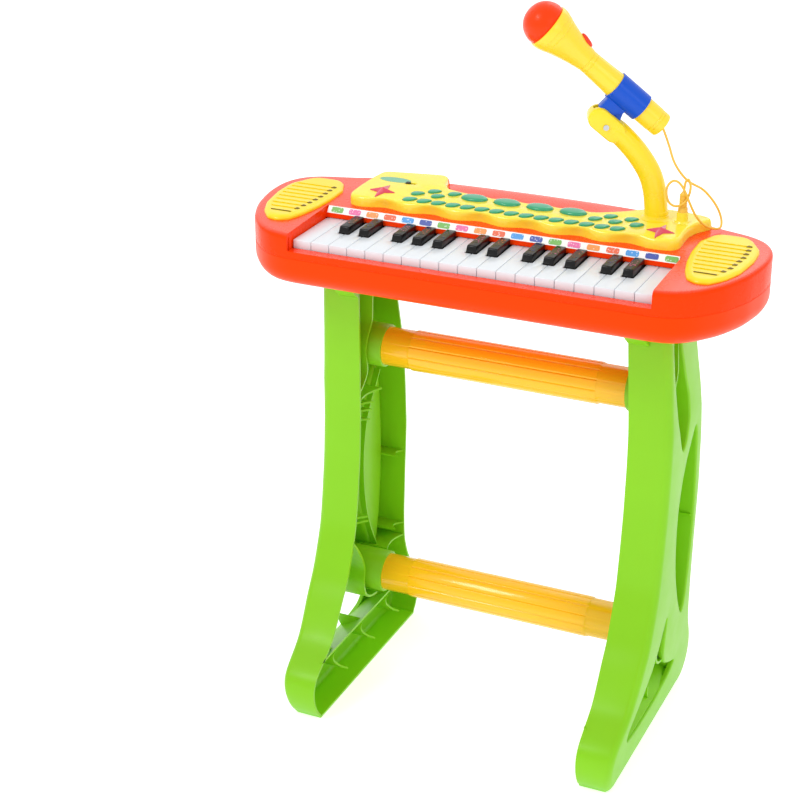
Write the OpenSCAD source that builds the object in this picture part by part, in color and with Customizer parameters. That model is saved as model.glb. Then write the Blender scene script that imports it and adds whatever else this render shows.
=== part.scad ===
// Toy electronic keyboard on two legs, with a clip-on microphone
// Units: mm. +Z up, player at -Y, +X to the player's right, floor at Z = 0.

/* [Keys] */
// Distance between neighbouring white keys
white_pitch = 18.5; // [16:0.1:24]
// Gap between neighbouring white keys
key_gap = 0.5; // [0.3:0.1:1]
// Height of the white key tops above the floor
key_top = 498; // [440:1:560]
// Front edge of the white keys
key_front = -73; // [-80:1:-60]
// Width of a black key
black_width = 9.2; // [8:0.1:11]
// Front edge of the black keys
black_front = -39; // [-45:1:-30]
// Height of the black key tops above the white ones
black_rise = 6.5; // [4:0.5:10]
// Diameter of the rod that the keys turn on
rod_dia = 3; // [2:0.1:5]

/* [Case] */
// Wall thickness of the case shells
case_wall = 2.5; // [1.5:0.1:4]
// Height of the underside of the case
case_bottom = 454; // [400:1:500]
// Height of the seam between the two shells
case_seam = 483; // [470:1:495]
// Height of the ledge in front of the keys
ledge_top = 490; // [486:1:494]
// Backward slope of the top deck in degrees
deck_tilt = 2; // [0:0.5:6]
// Height of the deck at its front edge
deck_front = 506.5; // [500:0.5:515]

/* [Control panel] */
// Height of the raised panel above the deck
panel_height = 10; // [6:0.5:14]
// Distance between the scallops of the front edge
scallop_pitch = 48.5; // [30:0.5:60]
// Depth of the scallops
scallop_depth = 6.5; // [0:0.5:10]
// Distance between the buttons of the front row
button_pitch = 14.83; // [12:0.01:18]
// Distance between the drum pads
pad_pitch = 33.2; // [28:0.1:40]

/* [Legs] */
// Inner plane of each leg, measured from the middle
leg_inner = 138; // [120:1:160]
// Outer plane of each leg, measured from the middle
leg_outer = 178; // [160:1:200]
// Radius of the cross bars
bar_radius = 20.6; // [12:0.1:24]
// Height of the upper cross bar
upper_bar_z = 359.3; // [300:0.1:400]
// Height of the lower cross bar
lower_bar_z = 101.9; // [80:0.1:140]

/* [Microphone] */
// Elevation of the microphone axis in degrees
mic_tilt = 40.6; // [0:0.1:80]
// Radius of the microphone tube in the clip
mic_tube_r = 12; // [8:0.1:16]
// Radius of the microphone rim
mic_rim_r = 21.3; // [15:0.1:26]
// Diameter of the microphone cord
cord_dia = 2.2; // [1.5:0.1:4]

/* [Hidden] */
$fn = 48;

// White keys that have a black key on their right-hand side
BLACK_AFTER = [2, 3, 5, 6, 7, 9, 10, 12, 13, 14, 16, 17];
WHITE_COUNT = 19;
// White keys with a rod post on their right-hand side
POST_AFTER = [1, 4, 8, 11, 15, 18];
KEY_DEPTH = 10.5;
KEY_WALL = 1.6;
KEY_NOTCH = 5.3;
TAIL_NARROW = 2.5;
TAIL_START = 8;
TAIL_END = 32;
TAIL_THICK = 7;
ROD_Y = 30;
ROD_Z = 488;
BEARING_R = 5;
RUNNING_FIT = 0.1;
PRESS = 0.02;

// Right half of the case plan, from the rear middle to the front middle
CASE_HALF = [
  [60, 108], [100, 105.5], [140, 101], [168, 94], [182, 88], [200, 83], [220, 78],
  [236, 69], [246, 55], [250, 38], [250, 15], [244, -17], [232, -45], [214, -69],
  [198, -81], [180, -85]];
KEYBED_X = 176.5;
KEYBED_BACK = -3;
BED_WALL = 2;
BOTTOM_INSET = 11;
BOTTOM_ROUND = 14;

// Plan of the right loudspeaker grille
GRILLE = [
  [180, 9], [183, -15], [188, -37], [194, -52], [204, -58], [215, -56], [226, -42],
  [234, -22], [238, 8], [237, 30], [232, 45], [221, 56], [205, 60], [191, 56],
  [183, 47], [180, 36]];
GRILLE_RISE = 4;
GRILLE_SLOTS = 9;
SPEAKER = [210, 4];
SPEAKER_R = 22;

// Plan of the panel behind its scalloped front edge
PANEL_LEFT = [[-156, 13], [-160, 22], [-162, 40], [-163, 60], [-164, 80], [-158, 87]];
PANEL_REAR = [[-104, 99], [-96, 96], [-88, 72], [-80, 64]];
PANEL_RIGHT = [
  [84, 64], [100, 72], [118, 84], [134, 90], [150, 89], [170, 84], [183, 79],
  [177, 72], [170.5, 62], [168, 48], [168, 36], [169, 24], [168, 16], [163, 11]];
PANEL_X = 150;
PANEL_FRONT = 9;
PANEL_BACK = 61;
PANEL_WALL = 2.5;
PAD_AT = [-42.2, 46];
PAD_SIZE = [13, 8];
ROW_START = -98.3;
ROW_COUNT = 15;
ROW_Y = 21;
LEAF_SIZE = [7, 4.4];
LEAF_TILT = 30;
LEFT_AT = [[-97.8, 38.3], [-84.8, 49.4], [-76.8, 38.1], [-64, 49.6]];
RIGHT_AT = [[82, 37.9], [93.4, 48.8], [101.8, 37], [113.8, 48.4], [122.6, 36.6]];
BUTTON_SIZE = [6.5, 4.2];
BUTTON_CLEAR = 0.4;
SCREW_HEAD = 3;
CASE_SCREWS = [for (x = [-205, -100, 100, 205], y = [-35, 60]) [x, y]];
BUTTON_TRAVEL = 2;
SHEET_THICK = 1;
STAR_AT = [[-132, 31], [147.4, 29]];
SWITCH_AT = [-116, 62];
BOARD_TOP = 3.2;
BOARD_THICK = 1.6;

// Side profile of a leg, as [Y, Z], clockwise from the toe
LEG_SIDE = [
  [-108, 0], [-114, 8], [-121, 22], [-123, 38], [-118, 50], [-107, 57], [-81, 73],
  [-68, 90], [-56, 110], [-44, 125], [-35, 148], [-24, 175], [-18, 215], [-14, 250],
  [-11, 300], [-11, 345], [-13, 387], [-20, 415], [-24, 430], [-24, 454],
  [72, 454], [77, 420], [82, 389], [90, 356], [100, 304], [104, 243], [100, 182],
  [98, 140], [99, 107], [107, 83], [118, 60], [123, 38], [120, 16], [108, 0]];
// Opening in the outer face above the foot
LEG_WINDOW = [
  [-78, 40], [-80, 50], [-64, 60], [-41, 73], [-19, 89], [-6, 104], [6, 122], [16, 133],
  [13, 112], [15, 90], [26, 72], [48, 60], [70, 52], [53, 42], [6, 36], [-45, 36]];
// Long lens-shaped pocket between the bars
LEG_LENS = [
  [30, 220], [32, 245], [38, 267], [48, 287], [62, 303], [74, 318], [79, 308], [82, 285],
  [85, 250], [86, 215], [84, 185], [80, 150], [74, 120], [68, 108], [62, 112], [48, 137],
  [37, 165], [32, 190]];
// Pocket in front of the upper bar
LEG_UPPER = [
  [33, 302], [24, 318], [14, 340], [3, 372], [-9, 401], [-18, 425], [-18, 448], [17, 448],
  [20, 417], [35, 379], [46, 358], [50, 335], [44, 310]];
LEG_WALL = 3;
POCKET_FLOOR = 160;
POCKET_WALL = 2.5;
CUP_R = 21.4;
BOSS_END = 127;
BAR_STEP = 1.3;
FLUTED_X = 97;
CUP_DEPTH = 14;
CUP_Y = 33;
BAR_PLAY = 0.2;
FOOT_TOP = [62, 35];
TONGUE = [20, 30, 12];
TONGUE_AT = [158, -2];

// Boom arm: centre line in its own vertical plane, as [along, height]
ARM_BASE = [132.7, 61.9];
ARM_TURN = 205;
ARM_LINE = [
  [0, 519], [0.6, 530], [3.4, 549], [9.4, 566], [21.3, 584], [34.8, 599], [44, 606]];
ARM_R = 10;
FORK = [51.3, 609.9];
FORK_R = 12.5;
FORK_WIDTH = 20;
FORK_SLOT = 8.4;
CLIP_SCREW = 4;
MIC_TAIL = [-0.6, 608.4];
CLIP_START = 26;
CLIP_LENGTH = 33;
CLIP_R = 13.2;
NECK_AT = 95;
RIM_AT = 141;
HEAD_R = 19.6;
SWITCH_ALONG = 101;

PLUG_AT = [158.2, 59.7];
// Cord route from the microphone tail to the plug
CORD_ROUTE = [
  [134, 63, 606], [137, 64.5, 598], [140, 66, 589], [146, 68.5, 572], [157, 73, 557],
  [171, 79, 548], [182, 84, 534], [188, 84, 522], [190, 77, 515.5], [186, 70, 515.5],
  [178, 63.5, 520], [171, 59, 529], [166, 56, 540], [161, 54, 552], [155.5, 53, 560],
  [150, 51, 562], [145.5, 49.5, 557], [145, 49, 549], [148, 50, 541], [154, 52.5, 538],
  [160, 55.5, 541], [163.5, 58, 548], [164, 60, 556], [161.5, 60.5, 562],
  [159, 60, 559], [158.2, 59.7, 551]];
CORD_SIDES = 8;

function deck_z(y) = deck_front + (y - CASE_HALF[15][1] - 10) * tan(deck_tilt);
function mirror_x(pts) = [for (i = [len(pts) - 1:-1:0]) [-pts[i][0], pts[i][1]]];
function unit(v) = v / norm(v);
// Moves every corner of a clockwise outline inwards by d
function inset(pts, d) = [for (i = [0:len(pts) - 1])
  let (n = len(pts), a = pts[(i + n - 1) % n], b = pts[i], c = pts[(i + 1) % n],
       u = unit(b - a), v = unit(c - b), m = unit([u[1] + v[1], -u[0] - v[0]]))
  b + m * d / max(0.5, m * [u[1], -u[0]])];
function oval(size, turn = 0, n = 20) = [for (i = [0:n - 1])
  let (a = -i * 360 / n, x = size[0] * cos(a), y = size[1] * sin(a))
  [x * cos(turn) - y * sin(turn), x * sin(turn) + y * cos(turn)]];
function leaf(size, turn, n = 16) = [for (i = [0:n - 1])
  let (a = -i * 360 / n, x = size[0] * cos(a), y = size[1] * sin(a) * (1 - 0.35 * cos(a)))
  [x * cos(turn) - y * sin(turn), x * sin(turn) + y * cos(turn)]];
function has(list, v) = len([for (e = list) if (e == v) e]) > 0;
function key_x(i) = (i - (WHITE_COUNT + 1) / 2) * white_pitch;
function case_plan() = concat(CASE_HALF, mirror_x(CASE_HALF));
function scallop(x) = PANEL_FRONT + scallop_depth * (1 - cos(360 * x / scallop_pitch)) / 2;
function panel_front() = [for (x = [PANEL_X:-6:-PANEL_X]) [x, scallop(x)]];
function panel_back() = [for (x = [-72:8:78])
  [x, PANEL_BACK + 3 * cos(360 * (x - 7.6) / pad_pitch)]];
function panel_plan() = concat(PANEL_LEFT, PANEL_REAR, panel_back(), PANEL_RIGHT, panel_front());

// Tube swept along a list of points, with flat ends
function frame_side(t) = unit(cross(t, abs(t[2]) > 0.9 ? [1, 0, 0] : [0, 0, 1]));
function tangent(p, i) = unit(p[min(i + 1, len(p) - 1)] - p[max(i - 1, 0)]);
function carry(p, i, s) = unit(s - tangent(p, i) * (s * tangent(p, i)));
function sides(p, i = 0, s = [0, 0, 0]) = i == len(p) ? [] :
  let (now = i == 0 ? frame_side(tangent(p, 0)) : carry(p, i, s))
  concat([now], sides(p, i + 1, now));
function ring(c, t, s, r, n) = [for (k = [0:n - 1])
  let (a = 360 * k / n) c + r * (cos(a) * s + sin(a) * cross(t, s))];

module tube(p, r, n) {
  s = sides(p);
  pts = [for (i = [0:len(p) - 1]) each ring(p[i], tangent(p, i), s[i], r, n)];
  last = (len(p) - 1) * n;
  polyhedron(pts, concat(
    [[for (k = [0:n - 1]) k]],
    [for (i = [0:len(p) - 2], k = [0:n - 1]) let (a = i * n + k, b = i * n + (k + 1) % n)
      [a, a + n, b + n, b]],
    [[for (k = [n - 1:-1:0]) last + k]]));
}

// Catmull-Rom point between b and c
function spline(a, b, c, d, t) = 0.5 * (2 * b + (c - a) * t
  + (2 * a - 5 * b + 4 * c - d) * t * t + (3 * b - a - 3 * c + d) * t * t * t);
function smooth(p, steps) = concat([for (i = [0:len(p) - 2], k = [0:steps - 1])
  spline(p[max(i - 1, 0)], p[i], p[i + 1], p[min(i + 2, len(p) - 1)], k / steps)],
  [p[len(p) - 1]]);

module plate(pts, low, high) {
  translate([0, 0, low])
    linear_extrude(high - low)
      polygon(pts);
}

// Local frame of the sloping deck: [x, y, height above the deck]
module on_deck() {
  translate([0, -75, deck_front])
    rotate([deck_tilt, 0, 0])
      translate([0, 75, 0])
        children();
}

// Profile in [Y, Z] drawn out along X
module along_x(pts, from, to) {
  translate([from, 0, 0])
    rotate([90, 0, 90])
      linear_extrude(to - from)
        polygon(pts);
}

module rod_x(x0, x1, y, z, r) {
  translate([x0, y, z])
    rotate([0, 90, 0])
      cylinder(r = r, h = x1 - x0);
}

module box(x0, x1, y0, y1, z0, z1) {
  translate([x0, y0, z0])
    cube([x1 - x0, y1 - y0, z1 - z0]);
}

module white_key(i) {
  half = (white_pitch - key_gap) / 2;
  left = has(BLACK_AFTER, i - 1) ? KEY_NOTCH : 0;
  right = has(BLACK_AFTER, i) ? KEY_NOTCH : 0;
  low = key_top - KEY_DEPTH;
  notch_y = black_front - 1;
  color("ivory")
    translate([key_x(i), 0, 0])
      difference() {
        union() {
          box(-half, half, key_front, notch_y, low, key_top);
          box(left - half, half - right, notch_y - 1, TAIL_START, key_top - TAIL_THICK, key_top);
          box(max(left, TAIL_NARROW) - half, half - max(right, TAIL_NARROW),
            TAIL_START - 1, TAIL_END, key_top - TAIL_THICK, key_top);
          rod_x(max(left, TAIL_NARROW) - half, half - max(right, TAIL_NARROW),
            ROD_Y, ROD_Z, BEARING_R);
        }
        box(KEY_WALL - half, half - KEY_WALL, key_front + KEY_WALL, notch_y - KEY_WALL,
          low - 1, key_top - KEY_WALL);
        rod_x(-half - 1, half + 1, ROD_Y, ROD_Z, rod_dia / 2 + RUNNING_FIT / 2);
      }
}

module black_key(i) {
  half = black_width / 2;
  top = key_top + black_rise;
  tail = key_top - TAIL_THICK;
  color("dimgray")
    translate([key_x(BLACK_AFTER[i - 1]) + white_pitch / 2, 0, 0])
      difference() {
        union() {
          along_x([[black_front, tail], [TAIL_END, tail], [TAIL_END, key_top - 0.5],
            [KEYBED_BACK - 1, key_top - 0.5], [KEYBED_BACK - 1, top],
            [black_front + 4, top], [black_front, key_top + 0.5]], -half, half);
          rod_x(-half, half, ROD_Y, ROD_Z, BEARING_R);
        }
        rod_x(-half - 1, half + 1, ROD_Y, ROD_Z, rod_dia / 2 + RUNNING_FIT / 2);
      }
}

module key_rod() {
  end = KEYBED_X + 6;
  color("silver")
    rod_x(-end, end, ROD_Y, ROD_Z, rod_dia / 2);
}

module upper_case() {
  inner = inset(case_plan(), case_wall);
  color("orangered")
    difference() {
      union() {
        difference() {
          plate(case_plan(), case_seam, deck_front + 10);
          on_deck()
            translate([-300, -150, 0])
              cube([600, 300, 30]);
          difference() {
            plate(inner, case_seam - 1, deck_front + 10);
            on_deck()
              translate([-300, -150, -case_wall])
                cube([600, 300, 30]);
          }
          box(-KEYBED_X, KEYBED_X, -100, KEYBED_BACK, ledge_top, deck_front + 20);
        }
        box(-KEYBED_X, KEYBED_X, -85 + case_wall / 2, key_front - 1.4,
          ledge_top - case_wall, ledge_top);
        box(-KEYBED_X - BED_WALL, KEYBED_X + BED_WALL, KEYBED_BACK, KEYBED_BACK + BED_WALL,
          key_top + 1, deck_z(KEYBED_BACK) - 1);
        for (s = [-1, 1])
          translate([s * (KEYBED_X + BED_WALL / 2), 0, 0])
            box(-BED_WALL / 2, BED_WALL / 2, -84, KEYBED_BACK + 1,
              ledge_top - case_wall, deck_z(-84) - 1);
      }
      for (s = [-1, 1])
        on_deck()
          translate([s * SPEAKER[0], SPEAKER[1], -10])
            cylinder(r = SPEAKER_R - 4, h = 20);
    }
}

module case_bowl(d) {
  hull() {
    plate(inset(case_plan(), BOTTOM_INSET + d), case_bottom + d, case_bottom + d + 0.5);
    plate(inset(case_plan(), 3 + d), case_bottom + 5 + d * 0.6, case_bottom + 5.5 + d * 0.6);
    plate(inset(case_plan(), d), case_bottom + BOTTOM_ROUND, case_seam + (d > 0 ? 1 : 0));
  }
}

module lower_case() {
  end = KEYBED_X + 3.5;
  color("tomato")
    difference() {
      union() {
        difference() {
          case_bowl(0);
          case_bowl(case_wall);
        }
        for (i = POST_AFTER)
          box(key_x(i) + white_pitch / 2 - 1.5, key_x(i) + white_pitch / 2 + 1.5,
            ROD_Y - 5, ROD_Y + 5, case_bottom + 1, ROD_Z + 5);
        for (x = [-end, end])
          box(x - 2, x + 2, ROD_Y - 5, ROD_Y + 5, case_bottom + 1, ROD_Z + 5);
        for (p = CASE_SCREWS)
          translate([p[0], p[1], case_bottom + 1])
            cylinder(r = 5.5, h = 7);
      }
      for (p = CASE_SCREWS)
        translate([p[0], p[1], case_bottom - 1])
          cylinder(r = SCREW_HEAD + 0.1, h = 5.6);
      rod_x(-200, 200, ROD_Y, ROD_Z, rod_dia / 2 - PRESS / 2);
      for (s = [-1, 1])
        translate([s * TONGUE_AT[0], TONGUE_AT[1], case_bottom])
          cube([TONGUE[0] + 0.2, TONGUE[1] + 0.2, 12], center = true);
      box(-60.3, 60.3, -30.3, 15.3, case_bottom - 1, case_bottom + 5);
    }
}

module battery_door() {
  color("tomato") {
    difference() {
      box(-60, 60, -30, 15, case_bottom, case_bottom + case_wall);
      for (x = [-8:4:8])
        box(x - 1, x + 1, -24, -16, case_bottom - 1, case_bottom + 1);
    }
  }
}

module speaker_grilles() {
  color("gold")
    for (s = [1, -1])
      on_deck()
        scale([s, 1, 1])
          difference() {
            plate(GRILLE, 0, GRILLE_RISE);
            plate(inset(GRILLE, 2.5), -1, 1.5);
            for (i = [0:GRILLE_SLOTS - 1])
              translate([SPEAKER[0] - 14 + i * 0.8, -38 + i * 10, GRILLE_RISE])
                cube([30 + 2 * min(i, 5), 2, 10], center = false);
            for (i = [0:GRILLE_SLOTS - 1])
              translate([SPEAKER[0] - 10 + i * 0.6, -38 + i * 10, -1])
                cube([22 + 2 * min(i, 4), 1.6, 10]);
          }
}

module speaker_drivers() {
  color("darkgray")
    for (s = [1, -1])
      on_deck()
        translate([s * SPEAKER[0], SPEAKER[1], -case_wall - 18])
          rotate_extrude()
            polygon([[0, 0], [11, 0], [11, 8], [20, 14], [22, 16], [22, 18], [19, 18], [17, 15],
              [9, 10], [0, 11]]);
}

module button_holes(size, at, turn) {
  for (p = at)
    translate([p[0], p[1], 0])
      plate(leaf([size[0] + BUTTON_CLEAR, size[1] + BUTTON_CLEAR], turn), 2, panel_height + 5);
}

module control_panel() {
  row = [for (i = [0:ROW_COUNT - 1]) [ROW_START + i * button_pitch, ROW_Y]];
  color("yellow")
    on_deck()
      difference() {
        plate(panel_plan(), 0, panel_height);
        plate(inset(panel_plan(), PANEL_WALL), -1, panel_height - PANEL_WALL);
        button_holes(LEAF_SIZE, row, LEAF_TILT);
        button_holes(BUTTON_SIZE, LEFT_AT, LEAF_TILT);
        button_holes(BUTTON_SIZE, RIGHT_AT, LEAF_TILT);
        for (i = [0:3])
          translate([PAD_AT[0] + i * pad_pitch, PAD_AT[1], 0])
            plate(oval([PAD_SIZE[0] + BUTTON_CLEAR, PAD_SIZE[1] + BUTTON_CLEAR]), 2, 20);
        translate([SWITCH_AT[0] - 5.5, SWITCH_AT[1] - 2.2, 0])
          cube([11, 4.4, 20]);
        translate([ARM_BASE[0], ARM_BASE[1], 0])
          cylinder(r = 6.2, h = 20);
        translate([PLUG_AT[0], PLUG_AT[1], 0])
          cylinder(r = 2.6, h = 20);
      }
}

module circuit_board() {
  color("seagreen")
    on_deck()
      difference() {
        plate([[-150, 19.5], [-157, 40], [-157, 78], [-105, 91], [-92, 64], [-80, 54], [84, 54],
          [118, 56], [121, 19.5]], BOARD_TOP - BOARD_THICK, BOARD_TOP);
        for (x = [-140, 0, 110])
          translate([x, 24, 0])
            cylinder(r = 1.6, h = 10);
      }
}

module drum_pad(i) {
  color("cadetblue")
    on_deck()
      translate([PAD_AT[0] + (i - 1) * pad_pitch, PAD_AT[1], 0]) {
        plate(oval(PAD_SIZE), 6.5, panel_height + 1);
        plate(oval(PAD_SIZE * 0.72), panel_height, panel_height + 2.4);
        plate(oval(PAD_SIZE + [1.4, 0.8]), 6.2, 7.2);
        translate([0, 0, BOARD_TOP + BUTTON_TRAVEL + 0.3])
          cylinder(r = 3, h = 2);
      }
}

module button_set(size, at, band) {
  for (p = at)
    translate([p[0], p[1], 0]) {
      plate(leaf(size, LEAF_TILT), 6.4, panel_height + 0.8);
      plate(leaf(size * 0.7, LEAF_TILT), panel_height, panel_height + 1.5);
    }
  plate(band, 6.2, 6.2 + SHEET_THICK);
}

module front_row_buttons() {
  row = [for (i = [0:ROW_COUNT - 1]) [ROW_START + i * button_pitch, ROW_Y]];
  last = ROW_START + (ROW_COUNT - 1) * button_pitch;
  color("cadetblue")
    on_deck()
      button_set(LEAF_SIZE, row, [[ROW_START - 4, 19], [ROW_START - 4, 24], [last + 4, 24],
        [last + 4, 19]]);
}

module left_buttons() {
  color("cadetblue")
    on_deck()
      button_set(BUTTON_SIZE, LEFT_AT, [[-101, 34], [-101, 45], [-88, 53], [-60, 53], [-60, 46],
        [-73, 34]]);
}

module right_buttons() {
  color("cadetblue")
    on_deck()
      button_set(BUTTON_SIZE, RIGHT_AT, [[78, 34], [78, 41], [90, 52], [117, 52], [125, 40],
        [125, 33]]);
}

module star_lights() {
  color("crimson")
    on_deck()
      for (c = STAR_AT)
        translate([c[0], c[1], panel_height])
          linear_extrude(2.5)
            polygon([for (k = [0:7]) let (a = 90 - k * 45,
              r = k % 2 == 1 ? 6 : (k % 4 == 0 ? 18 : 13.5)) [r * cos(a), r * sin(a)]]);
}

module slide_switch() {
  color("dimgray")
    on_deck()
      translate([SWITCH_AT[0], SWITCH_AT[1], 0]) {
        translate([-4.5, -1.9, 6])
          cube([3.6, 3.8, panel_height - 5]);
        translate([-5, -4, 5.6])
          cube([4.6, 8, 1.4]);
      }
}

// Walls of a blind pocket pressed in from the outer face
module pocket_walls(pts) {
  along_x(inset(pts, -POCKET_WALL), POCKET_FLOOR - POCKET_WALL, leg_outer - 1);
}

// Wall that follows the sloping top of the foot
module foot_top(y0, y1, lift, drop) {
  translate([0, y1, 0])
    rotate([90, 0, 0])
      linear_extrude(y1 - y0)
        polygon([[leg_inner, FOOT_TOP[0] - drop], [leg_outer + lift, FOOT_TOP[1] - drop],
          [leg_outer + lift, FOOT_TOP[1] + lift], [leg_inner, FOOT_TOP[0] + lift]]);
}

module leg(s) {
  back = leg_outer - LEG_WALL / 2;
  color("yellowgreen")
    scale([s, 1, 1])
      difference() {
        union() {
          difference() {
            along_x(LEG_SIDE, leg_inner, leg_outer);
            along_x(inset(LEG_SIDE, LEG_WALL), leg_inner - 1, leg_outer - LEG_WALL);
            along_x(LEG_WINDOW, back - LEG_WALL, leg_outer + 1);
          }
          pocket_walls(LEG_LENS);
          pocket_walls(LEG_UPPER);
          rod_x(BOSS_END, POCKET_FLOOR - 1, CUP_Y, upper_bar_z, CUP_R);
          rod_x(BOSS_END, back, CUP_Y, lower_bar_z, CUP_R);
          foot_top(-104, 106, 0, LEG_WALL);
          for (y = [-68, 8, 62])
            box(leg_inner + 1, back, y - 1.2, y + 1.2, 1, y < 50 ? 38 : 50);
          for (z = [127, 211])
            box(leg_inner + 2, back, 78, 98, z - 1.2, z + 1.2);
          box(leg_inner, back, CUP_Y - 1.2, CUP_Y + 1.2, lower_bar_z + CUP_R - 1, 150);
          box(leg_inner, back, 50, 98, lower_bar_z + 8, lower_bar_z + 10.4);
          box(leg_inner, back, 54, 84, upper_bar_z - 14, upper_bar_z - 11.6);
          box(leg_inner, back, CUP_Y - 18, CUP_Y - 15.5, upper_bar_z + 16, 452);
          along_x([[-22, 400], [-30, 432], [-46, 446], [-46, 454], [-20, 454]],
            leg_inner, leg_inner + 20);
          translate([TONGUE_AT[0] - TONGUE[0] / 2, TONGUE_AT[1] - TONGUE[1] / 2, 452])
            cube([TONGUE[0], TONGUE[1], TONGUE[2] - 4]);
        }
        along_x(LEG_LENS, POCKET_FLOOR, leg_outer + 1);
        along_x(LEG_UPPER, POCKET_FLOOR, leg_outer + 1);
        difference() {
          foot_top(-78, 70, 30, 0);
          rod_x(leg_inner - 1, leg_outer + 1, CUP_Y, lower_bar_z, CUP_R);
          along_x([[-130, 40], [-107, 54], [-78, 73], [-40, 130], [-130, 130]],
            leg_inner - 1, leg_outer + 1);
          along_x([[70, 50], [48, 60], [40, 72], [60, 130], [90, 130]],
            leg_inner - 1, leg_outer + 1);
          along_x([[-68, 74], [-41, 88], [-6, 118], [16, 150], [-60, 150]],
            leg_outer - LEG_WALL, leg_outer + 1);
        }
        for (z = [upper_bar_z, lower_bar_z])
          rod_x(BOSS_END - 1, leg_inner + CUP_DEPTH, CUP_Y, z,
            bar_radius - BAR_STEP + BAR_PLAY / 2);
        rod_x(leg_inner + CUP_DEPTH + LEG_WALL, leg_outer + 1, CUP_Y, lower_bar_z,
          CUP_R - LEG_WALL);
      }
}

module crossbar(z) {
  end = leg_inner + CUP_DEPTH - 0.2;
  color("orange")
    difference() {
      union() {
        rod_x(-end, end, CUP_Y, z, bar_radius - BAR_STEP);
        rod_x(-FLUTED_X, FLUTED_X, CUP_Y, z, bar_radius);
      }
      rod_x(-end - 1, end + 1, CUP_Y, z, bar_radius - BAR_STEP - 2);
      for (a = [0:30:359])
        rod_x(-FLUTED_X + 2, FLUTED_X - 2, CUP_Y + (bar_radius + 1.2) * cos(a),
          z + (bar_radius + 1.2) * sin(a), 1.9);
    }
}

// Places children in the vertical plane of the boom arm: X along, Y across, Z up
module arm_frame() {
  translate([ARM_BASE[0], ARM_BASE[1], 0])
    rotate([0, 0, ARM_TURN])
      children();
}

module across(p, r, width) {
  translate([p[0], width / 2, p[1]])
    rotate([90, 0, 0])
      cylinder(r = r, h = width);
}

module boom_arm() {
  foot = deck_z(ARM_BASE[1]) + panel_height;
  color("yellow")
    arm_frame()
      difference() {
        union() {
          tube([for (p = smooth(ARM_LINE, 3)) [p[0], 0, p[1]]], ARM_R, 16);
          translate([0, 0, foot])
            cylinder(r = 12, h = 5);
          translate([0, 0, foot - 7])
            cylinder(r = 6, h = 9);
          across(FORK, FORK_R, FORK_WIDTH);
        }
        across(FORK, 13.5, FORK_SLOT);
        translate([FORK[0] - 18, -FORK_SLOT / 2, FORK[1] - 4])
          cube([40, FORK_SLOT, 30]);
        across(FORK, CLIP_SCREW / 2 - PRESS / 2, 40);
        across(FORK, CLIP_SCREW, 2 * (FORK_WIDTH / 2 - 3) + 0.01);
      }
}

// Microphone frame: Z along its axis from the tail, Y across the arm plane
module mic_frame() {
  arm_frame()
    translate([MIC_TAIL[0], 0, MIC_TAIL[1]])
      rotate([0, 90 - mic_tilt, 0])
        children();
}

module mic_clip() {
  color("royalblue")
    difference() {
      union() {
        mic_frame()
          translate([0, 0, CLIP_START])
            cylinder(r = CLIP_R, h = CLIP_LENGTH);
        arm_frame()
          across(FORK, 11.5, FORK_SLOT - 0.8);
        arm_frame()
          translate([0, (FORK_SLOT - 0.8) / 2, 0])
            rotate([90, 0, 0])
              linear_extrude(FORK_SLOT - 0.8)
                polygon([[FORK[0] - 10, FORK[1] + 2], [FORK[0] - 15, 622], [42, 640],
                  [FORK[0] + 8, 622], [FORK[0] + 10, FORK[1]]]);
      }
      mic_frame() {
        translate([0, 0, CLIP_START - 1])
          cylinder(r = mic_tube_r + 0.05, h = CLIP_LENGTH + 2);
        translate([-20, -8.5, CLIP_START - 1])
          cube([20, 17, CLIP_LENGTH + 2]);
      }
      arm_frame()
        across(FORK, CLIP_SCREW / 2 + RUNNING_FIT / 2, 30);
    }
}

module mic_body() {
  color("yellow")
    mic_frame()
      difference() {
        rotate_extrude()
          polygon([[3, 0], [10.4, 0], [11.7, 1.5], [11.7, 6], [mic_tube_r, 7], [mic_tube_r, 64],
            [10.6, NECK_AT - 4], [10.6, NECK_AT], [14, NECK_AT + 14], [18.4, RIM_AT - 12],
            [mic_rim_r, RIM_AT - 8], [mic_rim_r, RIM_AT], [mic_rim_r - 3, RIM_AT],
            [mic_rim_r - 3, RIM_AT - 6], [16, RIM_AT - 12], [11, NECK_AT + 12], [8, NECK_AT],
            [8, NECK_AT - 4], [9.6, 64], [9.6, 3], [3, 3]]);
        rotate([0, 0, 180])
          translate([7, -3.4, SWITCH_ALONG - 9])
            cube([12, 6.8, 14]);
      }
}

module mic_head() {
  color("orangered")
    mic_frame()
      translate([0, 0, RIM_AT])
        rotate_extrude()
          polygon(concat([[0, -4], [mic_rim_r - 3.05, -4], [mic_rim_r - 3.05, 0.1],
            [HEAD_R, 0.1]],
            [for (a = [8:8:82]) [HEAD_R * cos(a), 3 + (HEAD_R - 2) * sin(a)]],
            [[0, HEAD_R + 1]]));
}

module mic_switch() {
  color("red")
    mic_frame()
      rotate([0, 0, 180])
        translate([8.6, -3, SWITCH_ALONG - 8.5])
          cube([7.4, 6, 8.8]);
}

module mic_cord() {
  color("goldenrod")
    tube(smooth(CORD_ROUTE, 3), cord_dia / 2, CORD_SIDES);
}

module mic_plug() {
  foot = deck_z(PLUG_AT[1]) + panel_height + 0.2;
  color("goldenrod")
    translate([PLUG_AT[0], PLUG_AT[1], foot]) {
      cylinder(r = 4.6, h = 14.2);
      cylinder(r = 3.25, h = 27);
      for (z = [16:3:25])
        translate([0, 0, z])
          cylinder(r = 3.7, h = 1.4);
      translate([0, 0, -8])
        cylinder(r = 1.75, h = 9);
      cylinder(r = 2, h = 29.6);
    }
}

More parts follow.
